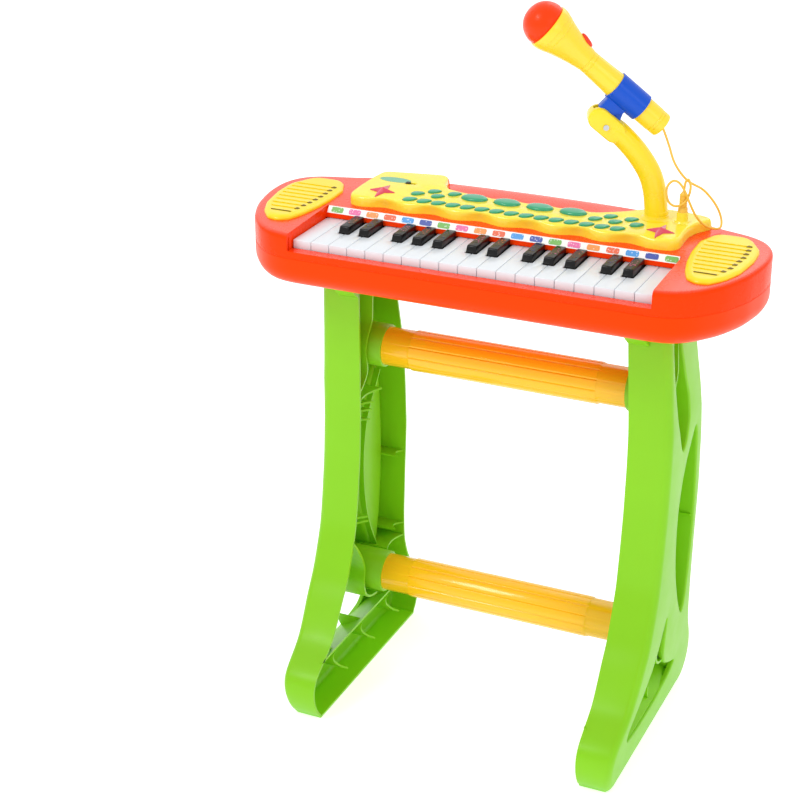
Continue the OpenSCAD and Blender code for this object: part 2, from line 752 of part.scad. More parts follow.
module screws() {
  color("silver") {
    for (p = CASE_SCREWS)
      translate([p[0], p[1], case_bottom + 0.6])
        cylinder(r = SCREW_HEAD, h = 4);
    arm_frame() {
      across(FORK, CLIP_SCREW / 2, FORK_WIDTH);
      translate([0, FORK_WIDTH / 2 + 0.7, 0])
        across(FORK, 2.6, 1.4);
    }
  }
}

white_key(1);  // white_key_01
white_key(2);  // white_key_02
white_key(3);  // white_key_03
white_key(4);  // white_key_04
white_key(5);  // white_key_05
white_key(6);  // white_key_06
white_key(7);  // white_key_07
white_key(8);  // white_key_08
white_key(9);  // white_key_09
white_key(10);  // white_key_10
white_key(11);  // white_key_11
white_key(12);  // white_key_12
white_key(13);  // white_key_13
white_key(14);  // white_key_14
white_key(15);  // white_key_15
white_key(16);  // white_key_16
white_key(17);  // white_key_17
white_key(18);  // white_key_18
white_key(19);  // white_key_19
black_key(1);  // black_key_01
black_key(2);  // black_key_02
black_key(3);  // black_key_03
black_key(4);  // black_key_04
black_key(5);  // black_key_05
black_key(6);  // black_key_06
black_key(7);  // black_key_07
black_key(8);  // black_key_08
black_key(9);  // black_key_09
black_key(10);  // black_key_10
black_key(11);  // black_key_11
black_key(12);  // black_key_12
upper_case();
lower_case();
speaker_grilles();
speaker_drivers();
control_panel();
circuit_board();
key_rod();
battery_door();
screws();
drum_pad(1);  // drum_pad_1
drum_pad(2);  // drum_pad_2
drum_pad(3);  // drum_pad_3
drum_pad(4);  // drum_pad_4
front_row_buttons();
left_buttons();
right_buttons();
star_lights();
slide_switch();
leg(-1);  // leg_left
leg(1);  // leg_right
crossbar(upper_bar_z);  // crossbar_upper
crossbar(lower_bar_z);  // crossbar_lower
boom_arm();
mic_clip();
mic_body();
mic_head();
mic_switch();
mic_cord();
mic_plug();
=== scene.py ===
"""Toy electronic keyboard on two legs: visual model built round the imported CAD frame."""
from math import copysign, cos, pi, radians, sin, tan

import bmesh
import bpy
from mathutils import Matrix, Vector


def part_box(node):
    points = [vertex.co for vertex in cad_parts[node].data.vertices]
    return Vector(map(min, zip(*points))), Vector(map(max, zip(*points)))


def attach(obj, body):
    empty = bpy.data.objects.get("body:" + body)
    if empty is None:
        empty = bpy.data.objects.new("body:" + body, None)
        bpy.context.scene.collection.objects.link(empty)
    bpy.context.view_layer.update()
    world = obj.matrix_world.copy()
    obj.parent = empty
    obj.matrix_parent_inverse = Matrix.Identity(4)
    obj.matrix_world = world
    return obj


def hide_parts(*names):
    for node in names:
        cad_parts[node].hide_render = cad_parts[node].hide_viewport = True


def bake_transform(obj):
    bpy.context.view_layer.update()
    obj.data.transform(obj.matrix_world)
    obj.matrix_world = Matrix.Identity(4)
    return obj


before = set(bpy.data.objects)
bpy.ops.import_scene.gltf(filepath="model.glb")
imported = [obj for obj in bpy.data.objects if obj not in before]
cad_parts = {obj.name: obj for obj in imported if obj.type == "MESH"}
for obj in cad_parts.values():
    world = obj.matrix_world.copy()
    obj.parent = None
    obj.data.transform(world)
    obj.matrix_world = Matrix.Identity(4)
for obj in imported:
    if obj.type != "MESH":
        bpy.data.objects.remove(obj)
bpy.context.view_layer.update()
MM = 0.001

ROOT = "stand_and_case"
MIC = "microphone"


def low(node, axis):
    """Lowest coordinate of a CAD node along an axis, in mm."""
    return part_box(node)[0][axis] / MM


def high(node, axis):
    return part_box(node)[1][axis] / MM


# --- camera
def make_camera():
    data = bpy.data.cameras.new("camera")
    data.sensor_width = 36.0
    data.lens = 85.5
    data.clip_start = 0.05
    cam = bpy.data.objects.new("camera", data)
    cam.location = (0.61265, -1.5567, 1.08656)
    cam.rotation_euler = (radians(90 - 24.17), 0, radians(24.58))
    bpy.context.scene.collection.objects.link(cam)
    bpy.context.scene.camera = cam


make_camera()


# --- materials
def srgb(r, g, b):
    """0-255 display colour to linear."""
    def one(v):
        v = v / 255.0
        return v / 12.92 if v <= 0.04045 else ((v + 0.055) / 1.055) ** 2.4
    return (one(r), one(g), one(b), 1.0)


def pigment(r, g, b, sheen=0.035):
    """Base colour of a glossy plastic that shows as r, g, b once the white room's sheen is added."""
    return tuple(max(v - sheen, 0.002) for v in srgb(r, g, b)[:3]) + (1.0,)


def shade(color, k):
    return (min(color[0] * k, 1), min(color[1] * k, 1), min(color[2] * k, 1), 1.0)


def mix(a, b, t):
    return tuple(x * (1 - t) + y * t for x, y in zip(a, b))


def settle(n, **inputs):
    """Sets values on a shader node's own sockets; an underscore stands for a space."""
    for key, value in inputs.items():
        n.inputs[key.replace("_", " ")].default_value = value
    return n


def node(tree, kind, **inputs):
    return settle(tree.nodes.new(kind), **inputs)


def wire(tree, source, output, target, socket):
    tree.links.new(source.outputs[output], target.inputs[socket])


def ramp(tree, source, output, stops, target, socket):
    """Colour ramp between an output and a socket."""
    r = tree.nodes.new("ShaderNodeValToRGB")
    el = r.color_ramp.elements
    while len(el) > 1:
        el.remove(el[-1])
    el[0].position, el[0].color = stops[0]
    for pos, col in stops[1:]:
        el.new(pos).color = col
    wire(tree, source, output, r, "Fac")
    wire(tree, r, "Color", target, socket)
    return r


def plastic(name, color, rough=0.3, coat=0.0, spread=0.05, grain=0.05, wave=0.1, sss=0.0,
            shine=0.5, tint=0.0, glow=0.0):
    """Moulded plastic: faint colour drift, uneven gloss, soft sink waves and fine grain."""
    m = bpy.data.materials.new(name)
    m.use_nodes = True
    t = m.node_tree
    bsdf = settle(t.nodes["Principled BSDF"], Specular_IOR_Level=shine,
                  Specular_Tint=mix((1, 1, 1, 1), color, tint), Coat_Weight=coat,
                  Coat_Roughness=0.08, Subsurface_Weight=sss,
                  Subsurface_Radius=(1.0, 0.6, 0.3), Subsurface_Scale=0.003)
    coords = t.nodes.new("ShaderNodeTexCoord")

    def noise(**inputs):
        n = node(t, "ShaderNodeTexNoise", **inputs)
        wire(t, coords, "Object", n, "Vector")
        return n
    drift = ramp(t, noise(Scale=9.0, Detail=3.0, Roughness=0.55), "Fac",
                 [(0.3, shade(color, 1 - spread)), (0.7, shade(color, 1 + spread * 0.6))],
                 bsdf, "Base Color")
    gloss = node(t, "ShaderNodeMapRange", To_Min=max(rough - 0.07, 0.03), To_Max=rough + 0.09)
    wire(t, noise(Scale=60.0, Detail=4.0, Roughness=0.6), "Fac", gloss, "Value")
    wire(t, gloss, "Result", bsdf, "Roughness")
    sink = node(t, "ShaderNodeBump", Strength=wave, Distance=0.0015)
    wire(t, noise(Scale=26.0, Detail=1.0), "Fac", sink, "Height")
    fine = node(t, "ShaderNodeBump", Strength=grain, Distance=0.0002)
    wire(t, noise(Scale=1400.0, Detail=2.0), "Fac", fine, "Height")
    wire(t, sink, "Normal", fine, "Normal")
    wire(t, fine, "Normal", bsdf, "Normal")
    if glow > 0:
        through = t.nodes.new("ShaderNodeBsdfTranslucent")
        wire(t, drift, "Color", through, "Color")
        blend = node(t, "ShaderNodeMixShader", Fac=glow)
        t.links.new(bsdf.outputs["BSDF"], blend.inputs[1])
        t.links.new(through.outputs["BSDF"], blend.inputs[2])
        wire(t, blend, "Shader", t.nodes["Material Output"], "Surface")
    return m


def sheen_by_upward_normal(m):
    """Painted sheen: specular level ramped by the upward normal, so the deck reflects brighter than
    the sides of the same moulding.
    """
    t = m.node_tree
    split = t.nodes.new("ShaderNodeSeparateXYZ")
    wire(t, t.nodes.new("ShaderNodeNewGeometry"), "Normal", split, "Vector")
    ramp(t, split, "Z", [(0.6, (0.08, 0.08, 0.08, 1)), (0.95, (1, 1, 1, 1))],
         t.nodes["Principled BSDF"], "Specular IOR Level")
    return m


def metal(name, color, rough):
    m = plastic(name, color, rough, spread=0.08, grain=0.15, wave=0.03)
    settle(m.node_tree.nodes["Principled BSDF"], Metallic=1.0)
    return m


def sticker_material(name, color, pale):
    """Printed paper label: a solid ground with soft generic speckle."""
    m = plastic(name, color, 0.35, spread=0.02, wave=0.02)
    t = m.node_tree
    dots = node(t, "ShaderNodeTexVoronoi", Scale=420.0)
    wire(t, t.nodes.new("ShaderNodeTexCoord"), "Object", dots, "Vector")
    ramp(t, dots, "Distance", [(0.16, pale), (0.34, color)],
         t.nodes["Principled BSDF"], "Base Color")
    return m


def hatch_material(name, dark, light):
    """Teal panel print with fine slanting hatch lines."""
    m = plastic(name, dark, 0.3, wave=0.02)
    t = m.node_tree
    slant = node(t, "ShaderNodeMapping", Rotation=(0, 0, radians(35)))
    wire(t, t.nodes.new("ShaderNodeTexCoord"), "Object", slant, "Vector")
    lines = node(t, "ShaderNodeTexWave", Scale=170.0, Distortion=0.6)
    wire(t, slant, "Vector", lines, "Vector")
    ramp(t, lines, "Fac", [(0.35, dark), (0.65, light)],
         t.nodes["Principled BSDF"], "Base Color")
    return m


def make_materials():
    """After the colour come roughness, coat, colour drift, grain, sink waves, subsurface."""
    m = {}
    m["white"] = plastic("key_ivory", srgb(226, 231, 236), 0.3, 0.1, 0.012, 0.0, 0.01)
    m["black"] = plastic("key_black", srgb(12, 12, 13), 0.24, 0.0, 0.1, 0.05, 0.04, shine=0.3)
    # Upward faces get a painted sheen: stronger specular on the deck than on the sides.
    m["upper"] = sheen_by_upward_normal(plastic("case_orange_red", srgb(255, 62, 5), 0.26, 0.0, 0.02,
                                      0.02, 0.02, tint=0.3))
    m["lower"] = plastic("case_orange", srgb(255, 66, 8), 0.36, 0.0, 0.02, 0.03, 0.04,
                         shine=0.2, tint=0.9)
    m["panel"] = plastic("panel_yellow", srgb(255, 232, 62), 0.2, 0.1, 0.02, 0.02, 0.04, 0.2,
                         shine=0.6)
    m["grille"] = plastic("grille_yellow", pigment(255, 226, 50), 0.3, 0.1, 0.03, 0.04, 0.05)
    m["arm"] = plastic("arm_yellow", pigment(255, 226, 60), 0.25, 0.2, 0.03, 0.03, 0.06)
    m["mic"] = plastic("mic_yellow", pigment(255, 222, 70), 0.22, 0.2, 0.04, 0.02, 0.05)
    m["speaker"] = plastic("speaker_black", srgb(30, 30, 32), 0.6, 0, 0.15, 0.4, 0.1)
    m["louvre"] = plastic("louvre_shadow", srgb(120, 96, 8), 0.5, 0, 0.1, 0.1, 0.05)
    m["board"] = plastic("board_green", srgb(20, 110, 60), 0.4, 0.1, 0.15, 0.2, 0.05)
    m["steel"] = metal("screw_steel", srgb(190, 192, 196), 0.25)
    m["button"] = plastic("button_teal", pigment(70, 172, 130), 0.16, 0.4, 0.06, 0.02, 0.03)
    m["star"] = plastic("star_crimson", srgb(222, 66, 92), 0.14, 0.4, 0.08, 0.02, 0.03)
    m["rubber"] = plastic("switch_black", srgb(26, 26, 28), 0.45, 0, 0.1, 0.2, 0.1)
    m["leg"] = plastic("leg_lime", pigment(152, 222, 60), 0.34, 0.0, 0.03, 0.04, 0.1,
                       shine=0.45, tint=0.3, glow=0.2)
    m["bar"] = plastic("bar_amber", srgb(255, 196, 30), 0.16, 0.1, 0.01, 0.02, 0.02, tint=0.2)
    m["clip"] = plastic("clip_blue", srgb(3, 80, 200), 0.22, 0.0, 0.06, 0.03, 0.02, shine=0.3)
    m["head"] = plastic("head_orange_red", srgb(252, 64, 10), 0.28, 0.05, 0.04, 0.08, 0.04,
                        shine=0.4, tint=0.7)
    m["switch"] = plastic("switch_red", srgb(238, 62, 24), 0.25, 0.1, shine=0.3)
    m["cord"] = plastic("cord_golden", srgb(242, 196, 70), 0.32, 0.1, 0.04, 0.05, 0.03)
    m["strip"] = plastic("strip_white", srgb(248, 247, 243), 0.35, 0, 0.01, 0.02, 0.01)
    m["hatch"] = hatch_material("decal_teal", pigment(60, 158, 140), pigment(160, 215, 170))
    m["floor"] = plastic("floor_pale", srgb(235, 235, 235), 0.6, 0, 0.005, 0.0, 0.0, shine=0.0)
    settle(m["floor"].node_tree.nodes["Principled BSDF"], Emission_Color=(1, 1, 1, 1),
           Emission_Strength=0.55)
    return m


MAT = make_materials()

PATCH_COLORS = [
    srgb(110, 180, 70), srgb(232, 95, 160), srgb(240, 145, 50), srgb(234, 92, 40),
    srgb(55, 150, 225), srgb(45, 70, 165)]


# --- mesh helpers
def link(name, mesh, material):
    obj = bpy.data.objects.new(name, mesh)
    bpy.context.scene.collection.objects.link(obj)
    if material:
        obj.data.materials.append(material)
    return obj


def from_bmesh(bm, name, material):
    mesh = bpy.data.meshes.new(name)
    bm.to_mesh(mesh)
    bm.free()
    return link(name, mesh, material)


def make(name, verts, faces, material=None):
    """Object from points in mm."""
    mesh = bpy.data.meshes.new(name)
    mesh.from_pydata([Vector(v) * MM for v in verts], [], faces)
    mesh.validate()
    bm = bmesh.new()
    bm.from_mesh(mesh)
    caps = [f for f in bm.faces if len(f.verts) > 8]
    bmesh.ops.triangulate(bm, faces=caps, ngon_method="EAR_CLIP")
    bmesh.ops.recalc_face_normals(bm, faces=bm.faces)
    bm.to_mesh(mesh)
    bm.free()
    return link(name, mesh, material)


def piece(obj, body, cad=None):
    """Hangs an object on the body it rides on and hides the CAD node it stands for."""
    if cad:
        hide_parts(cad)
    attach(obj, body)


def smooth(obj, angle=32):
    obj.data.polygons.foreach_set("use_smooth", [True] * len(obj.data.polygons))
    obj.data.set_sharp_from_angle(angle=radians(angle))
    return obj


def bake(obj, angle=32):
    """Applies every modifier."""
    dg = bpy.context.evaluated_depsgraph_get()
    mesh = bpy.data.meshes.new_from_object(obj.evaluated_get(dg))
    obj.modifiers.clear()
    obj.data = mesh
    return smooth(obj, angle)


def bevel(obj, width, segments=3, angle=35):
    b = obj.modifiers.new("edge", "BEVEL")
    b.width = width * MM
    b.segments = segments
    b.limit_method = "ANGLE"
    b.angle_limit = radians(angle)
    b.use_clamp_overlap = True
    b.miter_outer = "MITER_ARC"
    return obj


def boolean(obj, others, operation="DIFFERENCE"):
    """Applies one boolean with several closed meshes."""
    cutter = join(others if isinstance(others, list) else [others], "cutter")
    mod = obj.modifiers.new("cut", "BOOLEAN")
    mod.operation = operation
    mod.solver = "EXACT"
    mod.object = cutter
    bake(obj)
    bpy.data.objects.remove(cutter)
    return obj


def join(objs, name):
    """One object from several, keeping each one's material."""
    if len(objs) == 1:
        return objs[0]
    bm = bmesh.new()
    mats = []
    for o in objs:
        part = bmesh.new()
        part.from_mesh(o.data)
        part.transform(o.matrix_world)
        mats += [m for m in o.data.materials if m not in mats]
        remap = [mats.index(m) for m in o.data.materials]
        for f in part.faces:
            f.material_index = remap[f.material_index] if remap else 0
        tmp = bpy.data.meshes.new("tmp")
        part.to_mesh(tmp)
        part.free()
        bm.from_mesh(tmp)
        bpy.data.meshes.remove(tmp)
    mesh = bpy.data.meshes.new(name)
    bm.to_mesh(mesh)
    bm.free()
    for o in objs:
        bpy.data.objects.remove(o)
    obj = link(name, mesh, None)
    for m in mats:
        mesh.materials.append(m)
    return smooth(obj)


def skin(loops, wrap=False, open_after=None):
    """Points of loops of equal length, and the quads between each loop and the next."""
    rows, n, faces = len(loops), len(loops[0]), []
    for i in range(rows if wrap else rows - 1):
        if i == open_after:
            continue
        j = (i + 1) % rows
        for k in range(n):
            m = (k + 1) % n
            faces.append((i * n + k, i * n + m, j * n + m, j * n + k))
    return [p for loop in loops for p in loop], faces


def loft(name, loops, material=None, wrap=False):
    """Solid skinned over loops: capped at both ends, or wrapped back to the first loop."""
    verts, faces = skin(loops, wrap)
    if not wrap:
        n = len(loops[0])
        faces.append(tuple(range(n - 1, -1, -1)))
        faces.append(tuple(range((len(loops) - 1) * n, len(loops) * n)))
    return make(name, verts, faces, material)


def block(name, lo, hi, material=None, matrix=None):
    """Rectangular solid, for cutters."""
    verts = [(x, y, z) for x in (lo[0], hi[0]) for y in (lo[1], hi[1]) for z in (lo[2], hi[2])]
    faces = [(0, 1, 3, 2), (4, 6, 7, 5), (0, 4, 5, 1), (2, 3, 7, 6), (0, 2, 6, 4), (1, 5, 7, 3)]
    if matrix:
        verts = [matrix @ Vector(v) for v in verts]
    return make(name, verts, faces, material)


def prism(name, pts, place, lo, hi, material=None):
    """2D outline drawn between two heights; place(a, b, h) gives the point."""
    return loft(name, [[place(a, b, lo) for a, b in pts], [place(a, b, hi) for a, b in pts]],
                material)


def bridge(bm, low_ring, high_ring):
    """Quads between two rings of bmesh verts."""
    n = len(low_ring)
    for i in range(n):
        j = (i + 1) % n
        bm.faces.new((low_ring[i], low_ring[j], high_ring[j], high_ring[i]))


def turn(n):
    """Angles of n equal steps round a circle."""
    return [2 * pi * k / n for k in range(n)]


def quarter(steps):
    """Angles from 0 to 90 degrees, both included."""
    return [pi / 2 * k / steps for k in range(steps + 1)]


def x_prism(name, pts, x0, x1, material=None):
    """Side-view outline drawn out between two X positions."""
    return loft(name, [[(x, y, z) for y, z in pts] for x in (x0, x1)], material)


def resample(pts, count, closed=True):
    """Points at equal spacing along a polyline."""
    pts = [Vector(p) for p in pts]
    path = pts + [pts[0]] if closed else pts
    run = [0.0]
    for a, b in zip(path, path[1:]):
        run.append(run[-1] + (b - a).length)
    out, k = [], 0
    steps = count if closed else count - 1
    for i in range(count):
        want = run[-1] * i / steps
        while k < len(run) - 2 and run[k + 1] < want:
            k += 1
        span = max(run[k + 1] - run[k], 1e-9)
        out.append(path[k].lerp(path[k + 1], min(max((want - run[k]) / span, 0), 1)))
    return out


def relax(pts, rounds, closed=True):
    """Rounds a resampled outline by averaging neighbours."""
    for _ in range(rounds):
        n = len(pts)
        new = []
        for i, p in enumerate(pts):
            if not closed and i in (0, n - 1):
                new.append(p)
            else:
                new.append(p * 0.5 + (pts[i - 1] + pts[(i + 1) % n]) * 0.25)
        pts = new
    return pts


def soften(pts, count, rounds):
    """Closed outline as evenly spaced points with its corners rounded."""
    return relax(resample(pts, count), rounds)


def area(pts):
    return sum(a[0] * b[1] - b[0] * a[1] for a, b in zip(pts, list(pts[1:]) + [pts[0]])) / 2


def inset(pts, d):
    """Outline moved inwards by d (negative for outwards); any direction of travel."""
    sign = 1 if area(pts) > 0 else -1
    n, out = len(pts), []
    for i in range(n):
        a, b, c = Vector(pts[i - 1]), Vector(pts[i]), Vector(pts[(i + 1) % n])
        u, v = (b - a).normalized(), (c - b).normalized()
        nu, nv = Vector((-u.y, u.x)) * sign, Vector((-v.y, v.x)) * sign
        m = (nu + nv)
        m = m.normalized() if m.length > 1e-6 else nu
        out.append(b + m * d / max(m.dot(nu), 0.5))
    return out


def inset_chain(pts, depths):
    """Rings at growing insets, each eased from the one before so tight bends don't fold."""
    rings, ring, at = [], [Vector(p) for p in pts], 0.0
    for d in depths:
        while abs(d - at) > 1e-6:
            step = max(min(d - at, 0.7), -0.7)
            ring = relax(inset(ring, step), 1)
            at += step
        rings.append(list(ring))
    return rings


def spline(points, steps):
    """Catmull-Rom curve through the points."""
    p = [Vector(q) for q in points]
    out = []
    for i in range(len(p) - 1):
        a, b, c, d = p[max(i - 1, 0)], p[i], p[i + 1], p[min(i + 2, len(p) - 1)]
        for k in range(steps):
            t = k / steps
            out.append((b * 2 + (c - a) * t + (a * 2 - b * 5 + c * 4 - d) * t * t
                        + (b * 3 - a - c * 3 + d) * t ** 3) * 0.5)
    return out + [p[-1]]


def lathe(name, profile, matrix, material=None, segments=64, tube=False):
    """Solid of revolution about local Z, from [radius, height]; matrix in mm."""
    loops = [[matrix @ Vector((r * cos(a), r * sin(a), z)) for a in turn(segments)]
             for r, z in profile]
    return loft(name, loops, material, tube)


def sweep(name, path, radii, material=None, sides=20):
    """Round bar along a path, with flat ends."""
    loops, side = [], None
    for i, p in enumerate(path):
        t = (path[min(i + 1, len(path) - 1)] - path[max(i - 1, 0)]).normalized()
        if side is None:
            ref = Vector((1, 0, 0)) if abs(t.z) > 0.9 else Vector((0, 0, 1))
            side = t.cross(ref).normalized()
        side = (side - t * side.dot(t)).normalized()
        up = t.cross(side)
        r = radii[i] if isinstance(radii, (list, tuple)) else radii
        loops.append([p + side * r * cos(a) + up * r * sin(a) for a in turn(sides)])
    return loft(name, loops, material)


# --- common places
CASE_FRONT = low("upper_case", 1)
CASE_HALF_WIDTH = 250
SEAM = low("upper_case", 2)
BOTTOM = low("lower_case", 2)
TILT = radians(2)
DECK_Y, DECK_Z = -75, 506.5
PANEL_H = 10.0


def on_deck(x, y, h):
    """Point on the sloping deck, h above it."""
    return Vector((x, DECK_Y + (y - DECK_Y) * cos(TILT) - h * sin(TILT),
                   DECK_Z + (y - DECK_Y) * sin(TILT) + h * cos(TILT)))


def deck_z(y):
    return DECK_Z + (y - DECK_Y) * tan(TILT)


ARM_BASE = (132.7, 61.9)
ARM_TURN = radians(205)
ARM = Matrix.Translation((ARM_BASE[0], ARM_BASE[1], 0)) @ Matrix.Rotation(ARM_TURN, 4, "Z")
MIC_AXIS = ARM @ Matrix.Translation((-0.6, 0, 608.4)) @ Matrix.Rotation(
    radians(90 - 40.6), 4, "Y")


# --- cord
CORD_ROUTE = [
    (134, 63, 606), (137, 64.5, 598), (140, 66, 589), (146, 68.5, 572), (157, 73, 557),
    (171, 79, 548), (182, 84, 534), (188, 84, 522), (190, 77, 515.5), (186, 70, 515.5),
    (178, 63.5, 520), (171, 59, 529), (166, 56, 540), (161, 54, 552), (155.5, 53, 560),
    (150, 51, 562), (145.5, 49.5, 557), (145, 49, 549), (148, 50, 541), (154, 52.5, 538),
    (160, 55.5, 541), (163.5, 58, 548), (164, 60, 556), (161.5, 60.5, 562),
    (159, 60, 559), (158.2, 59.7, 551)]
CORD_D = 2.2


def make_cord():
    route = spline(CORD_ROUTE, 6)
    obj = smooth(sweep("mic_cord_tube", route, CORD_D / 2, MAT["cord"], 12), 60)
    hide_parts("mic_cord")
    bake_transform(obj)


make_cord()


# --- keys
WHITE_PITCH = 18.5
WHITE_COUNT = 19
BLACK_AFTER = [2, 3, 5, 6, 7, 9, 10, 12, 13, 14, 16, 17]
KEY_TOP = high("white_key_01", 2)
KEY_FRONT = low("white_key_01", 1)
BLACK_FRONT = low("black_key_01", 1)
BLACK_TOP = high("black_key_01", 2)
BED_BACK = -3.0
BLACK_SHIFT = {2: -1.3, 3: 0.6, 5: -2.2, 6: -0.3, 7: 1.8, 9: -1.3, 10: 0.6, 12: -2.2, 13: -0.3,
               14: 1.8, 16: -1.3, 17: 0.6}
NOTCH = 5.6


def upright(x, y, h):
    return (x, y, h)


def white_key(i):
    name = "white_key_%02d" % i
    x = (i - (WHITE_COUNT + 1) / 2) * WHITE_PITCH
    half, wall, back = 9.0, 1.6, 8
    cut_l = NOTCH + BLACK_SHIFT[i - 1] if i - 1 in BLACK_AFTER else 0.0
    cut_r = NOTCH - BLACK_SHIFT[i] if i in BLACK_AFTER else 0.0
    notch = BLACK_FRONT - 1
    plan = [(x - half, KEY_FRONT), (x + half, KEY_FRONT), (x + half, notch)]
    if cut_r:
        plan.append((x + half - cut_r, notch))
    plan += [(x + half - cut_r, back), (x - half + cut_l, back)]
    if cut_l:
        plan.append((x - half + cut_l, notch))
    plan.append((x - half, notch))
    top = prism(name + "_top", plan, upright, KEY_TOP - 10.5, KEY_TOP, MAT["white"])
    bake(bevel(top, 0.7, 3))
    boolean(top, block("hollow", (x - half + wall, KEY_FRONT + wall, KEY_TOP - 12),
                       (x + half - wall, notch - wall, KEY_TOP - 1.8)))
    piece(top, name, name)


def black_key(i):
    name = "black_key_%02d" % i
    after = BLACK_AFTER[i - 1]
    x = (after - (WHITE_COUNT + 1) / 2 + 0.5) * WHITE_PITCH + BLACK_SHIFT[after]
    side = [(BLACK_FRONT, KEY_TOP - 7), (BLACK_FRONT, KEY_TOP + 0.6),
            (BLACK_FRONT + 0.6, KEY_TOP + 1.6), (BLACK_FRONT + 1.9, BLACK_TOP - 0.6),
            (BLACK_FRONT + 3.0, BLACK_TOP), (BED_BACK - 1, BLACK_TOP),
            (BED_BACK - 1, KEY_TOP - 7)]
    w_low, w_top = 5.1, 4.5

    def width(z):
        t = min(max((z - KEY_TOP) / (BLACK_TOP - KEY_TOP), 0), 1)
        return w_low + (w_top - w_low) * t
    body = loft(name + "_cap", [[(x - width(z), y, z) for y, z in side],
                                [(x + width(z), y, z) for y, z in side]], MAT["black"])
    bake(bevel(body, 0.55, 3, 28))
    tag_color = PATCH_COLORS[(i * 2 + 1) % len(PATCH_COLORS)]
    tag = name + "_sticker"
    label = [(x + 3.4 * copysign(abs(cos(a)) ** 0.5, cos(a)),
              -18 + 9 * copysign(abs(sin(a)) ** 0.4, sin(a))) for a in turn(32)]
    patch = smooth(prism(tag, label, upright, BLACK_TOP - 0.1, BLACK_TOP + 0.12,
                         sticker_material(tag, srgb(30, 24, 16), tag_color)))
    piece(body, name, name)
    piece(patch, name)


def finish_node(name, material):
    """Finish for a CAD node that stays in view."""
    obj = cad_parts[name]
    obj.data.materials.clear()
    obj.data.materials.append(material)
    return obj


for k in range(1, WHITE_COUNT + 1):
    white_key(k)
for k in range(1, len(BLACK_AFTER) + 1):
    black_key(k)


# --- case
CASE_HALF = [
    (0, 109), (60, 108), (100, 105.5), (140, 101), (168, 94), (182, 88), (200, 83), (220, 78),
    (236, 69), (246, 55), (250, 38), (250, 15), (244, -17), (232, -45), (214, -69),
    (198, -81), (180, -85)]
KEYBED_X = 176.5
LEDGE, LEDGE_BACK = 490.0, -73.9


def mirrored(half):
    return half + [(-x, y) for x, y in reversed(half) if x > 0.01]


def case_outline():
    """Plan of the case, stretched to the CAD node's width and front."""
    pts = soften(mirrored(CASE_HALF), 400, 12)
    xs = [p.x for p in pts]
    ys = [p.y for p in pts]
    grow = Vector((CASE_HALF_WIDTH / max(xs), 1))
    shift = CASE_FRONT - min(ys)
    return [Vector((p.x * grow.x, p.y + shift * min(max(-p.y / 60, 0), 1))) for p in pts]


SEAM_BAND = 100


def shell(name, outer, inner, plan, material):
    """Closed shell from two stacks of (inset, height) rings round one plan.

    A height below SEAM_BAND is measured from the sloping deck."""
    loops = [[(p.x, p.y, h if h > SEAM_BAND else deck_z(p.y) + h) for p in inset(plan, d)]
             for d, h in outer + inner]
    n, top = len(plan), len(outer) - 1
    verts, faces = skin(loops, True, top)
    faces.append(tuple(range(top * n, (top + 1) * n)))
    faces.append(tuple(range((top + 1) * n, (top + 2) * n)))
    return make(name, verts, faces, material)


STRIP_FOOT, STRIP_BACK = 503.1, 4.9
SPEAKER_AT, SPEAKER_R = (210, 4), 17
KNOB_AT = (-93, 91)


def upper_case():
    wall = 2.5
    outer = [(0.35, SEAM), (0.35, SEAM + 0.35), (0, SEAM + 0.6), (0, -5.0), (0.3, -3.2),
             (1.2, -1.7), (2.5, -0.7), (3.8, -0.15), (5.0, 0.0)]
    inner = [(8.0, -wall), (4.5, -wall - 0.6), (wall + 0.4, -5.4), (wall, -9.0), (wall, SEAM)]
    case = shell("upper_case_shell", outer, inner, case_outline(), MAT["upper"])
    x_in, x_out = KEYBED_X, KEYBED_X + 3
    frame_walls = [
        block("ledge", (-x_out, CASE_FRONT + 1.2, LEDGE - wall), (x_out, LEDGE_BACK, LEDGE))]
    side = [(-80, LEDGE - 2.4), (BED_BACK + 4, LEDGE - 2.4),
            (BED_BACK + 4, deck_z(BED_BACK + 4) - 1), (-80, deck_z(-80) - 1)]
    frame_walls += [x_prism("side", side, s * x_in, s * x_out) for s in (-1, 1)]
    brow = BED_BACK + STRIP_BACK
    face = [(BED_BACK, KEY_TOP + 0.6), (BED_BACK, STRIP_FOOT), (brow, deck_z(brow) - 0.05),
            (brow + 3, deck_z(brow) - 1.2), (BED_BACK + 2.5, KEY_TOP + 0.6)]
    cut_bed = x_prism("bed", [
        (-120, LEDGE), (BED_BACK, LEDGE), (BED_BACK, STRIP_FOOT), (brow, deck_z(brow) - 0.05),
        (brow + 8, 575), (-120, 575)], -x_in, x_in)
    x, y = SPEAKER_AT
    holes = [cut_bed] + [lathe("hole", [(SPEAKER_R, -12), (SPEAKER_R, 8)],
                               Matrix.Translation((s * x, y, deck_z(y))), segments=48)
                         for s in (-1, 1)]
    for wall_block in frame_walls:
        boolean(case, wall_block, "UNION")
    boolean(case, holes)
    smooth(case, 30)
    back = x_prism("back", face, -x_in - 1, x_in + 1, MAT["upper"])
    knob = lathe("knob", [(0.2, -1), (4.6, -1), (5.2, 2), (5.0, 6), (3.8, 8.6), (1.6, 9.8),
                          (0.2, 10)], Matrix.Translation(on_deck(*KNOB_AT, 0)), MAT["upper"], 32)
    obj = join([case, smooth(back), smooth(rear_ridge()), smooth(knob)], "upper_case_skin")
    piece(obj, ROOT, "upper_case")


def rear_ridge():
    """Low rounded swelling of the deck behind the panel."""
    half, loops = 92, []
    for i in range(49):
        x = -half + 2 * half * i / 48
        k = max(1 - abs(x / half) ** 4, 0.0) ** 0.5
        loops.append([on_deck(x, 79 + 23 * cos(pi * j / 14),
                              -1.5 + 5.0 * k * sin(pi * j / 14) ** 0.6)
                      for j in range(15)])
    return loft("ridge", loops, MAT["upper"])


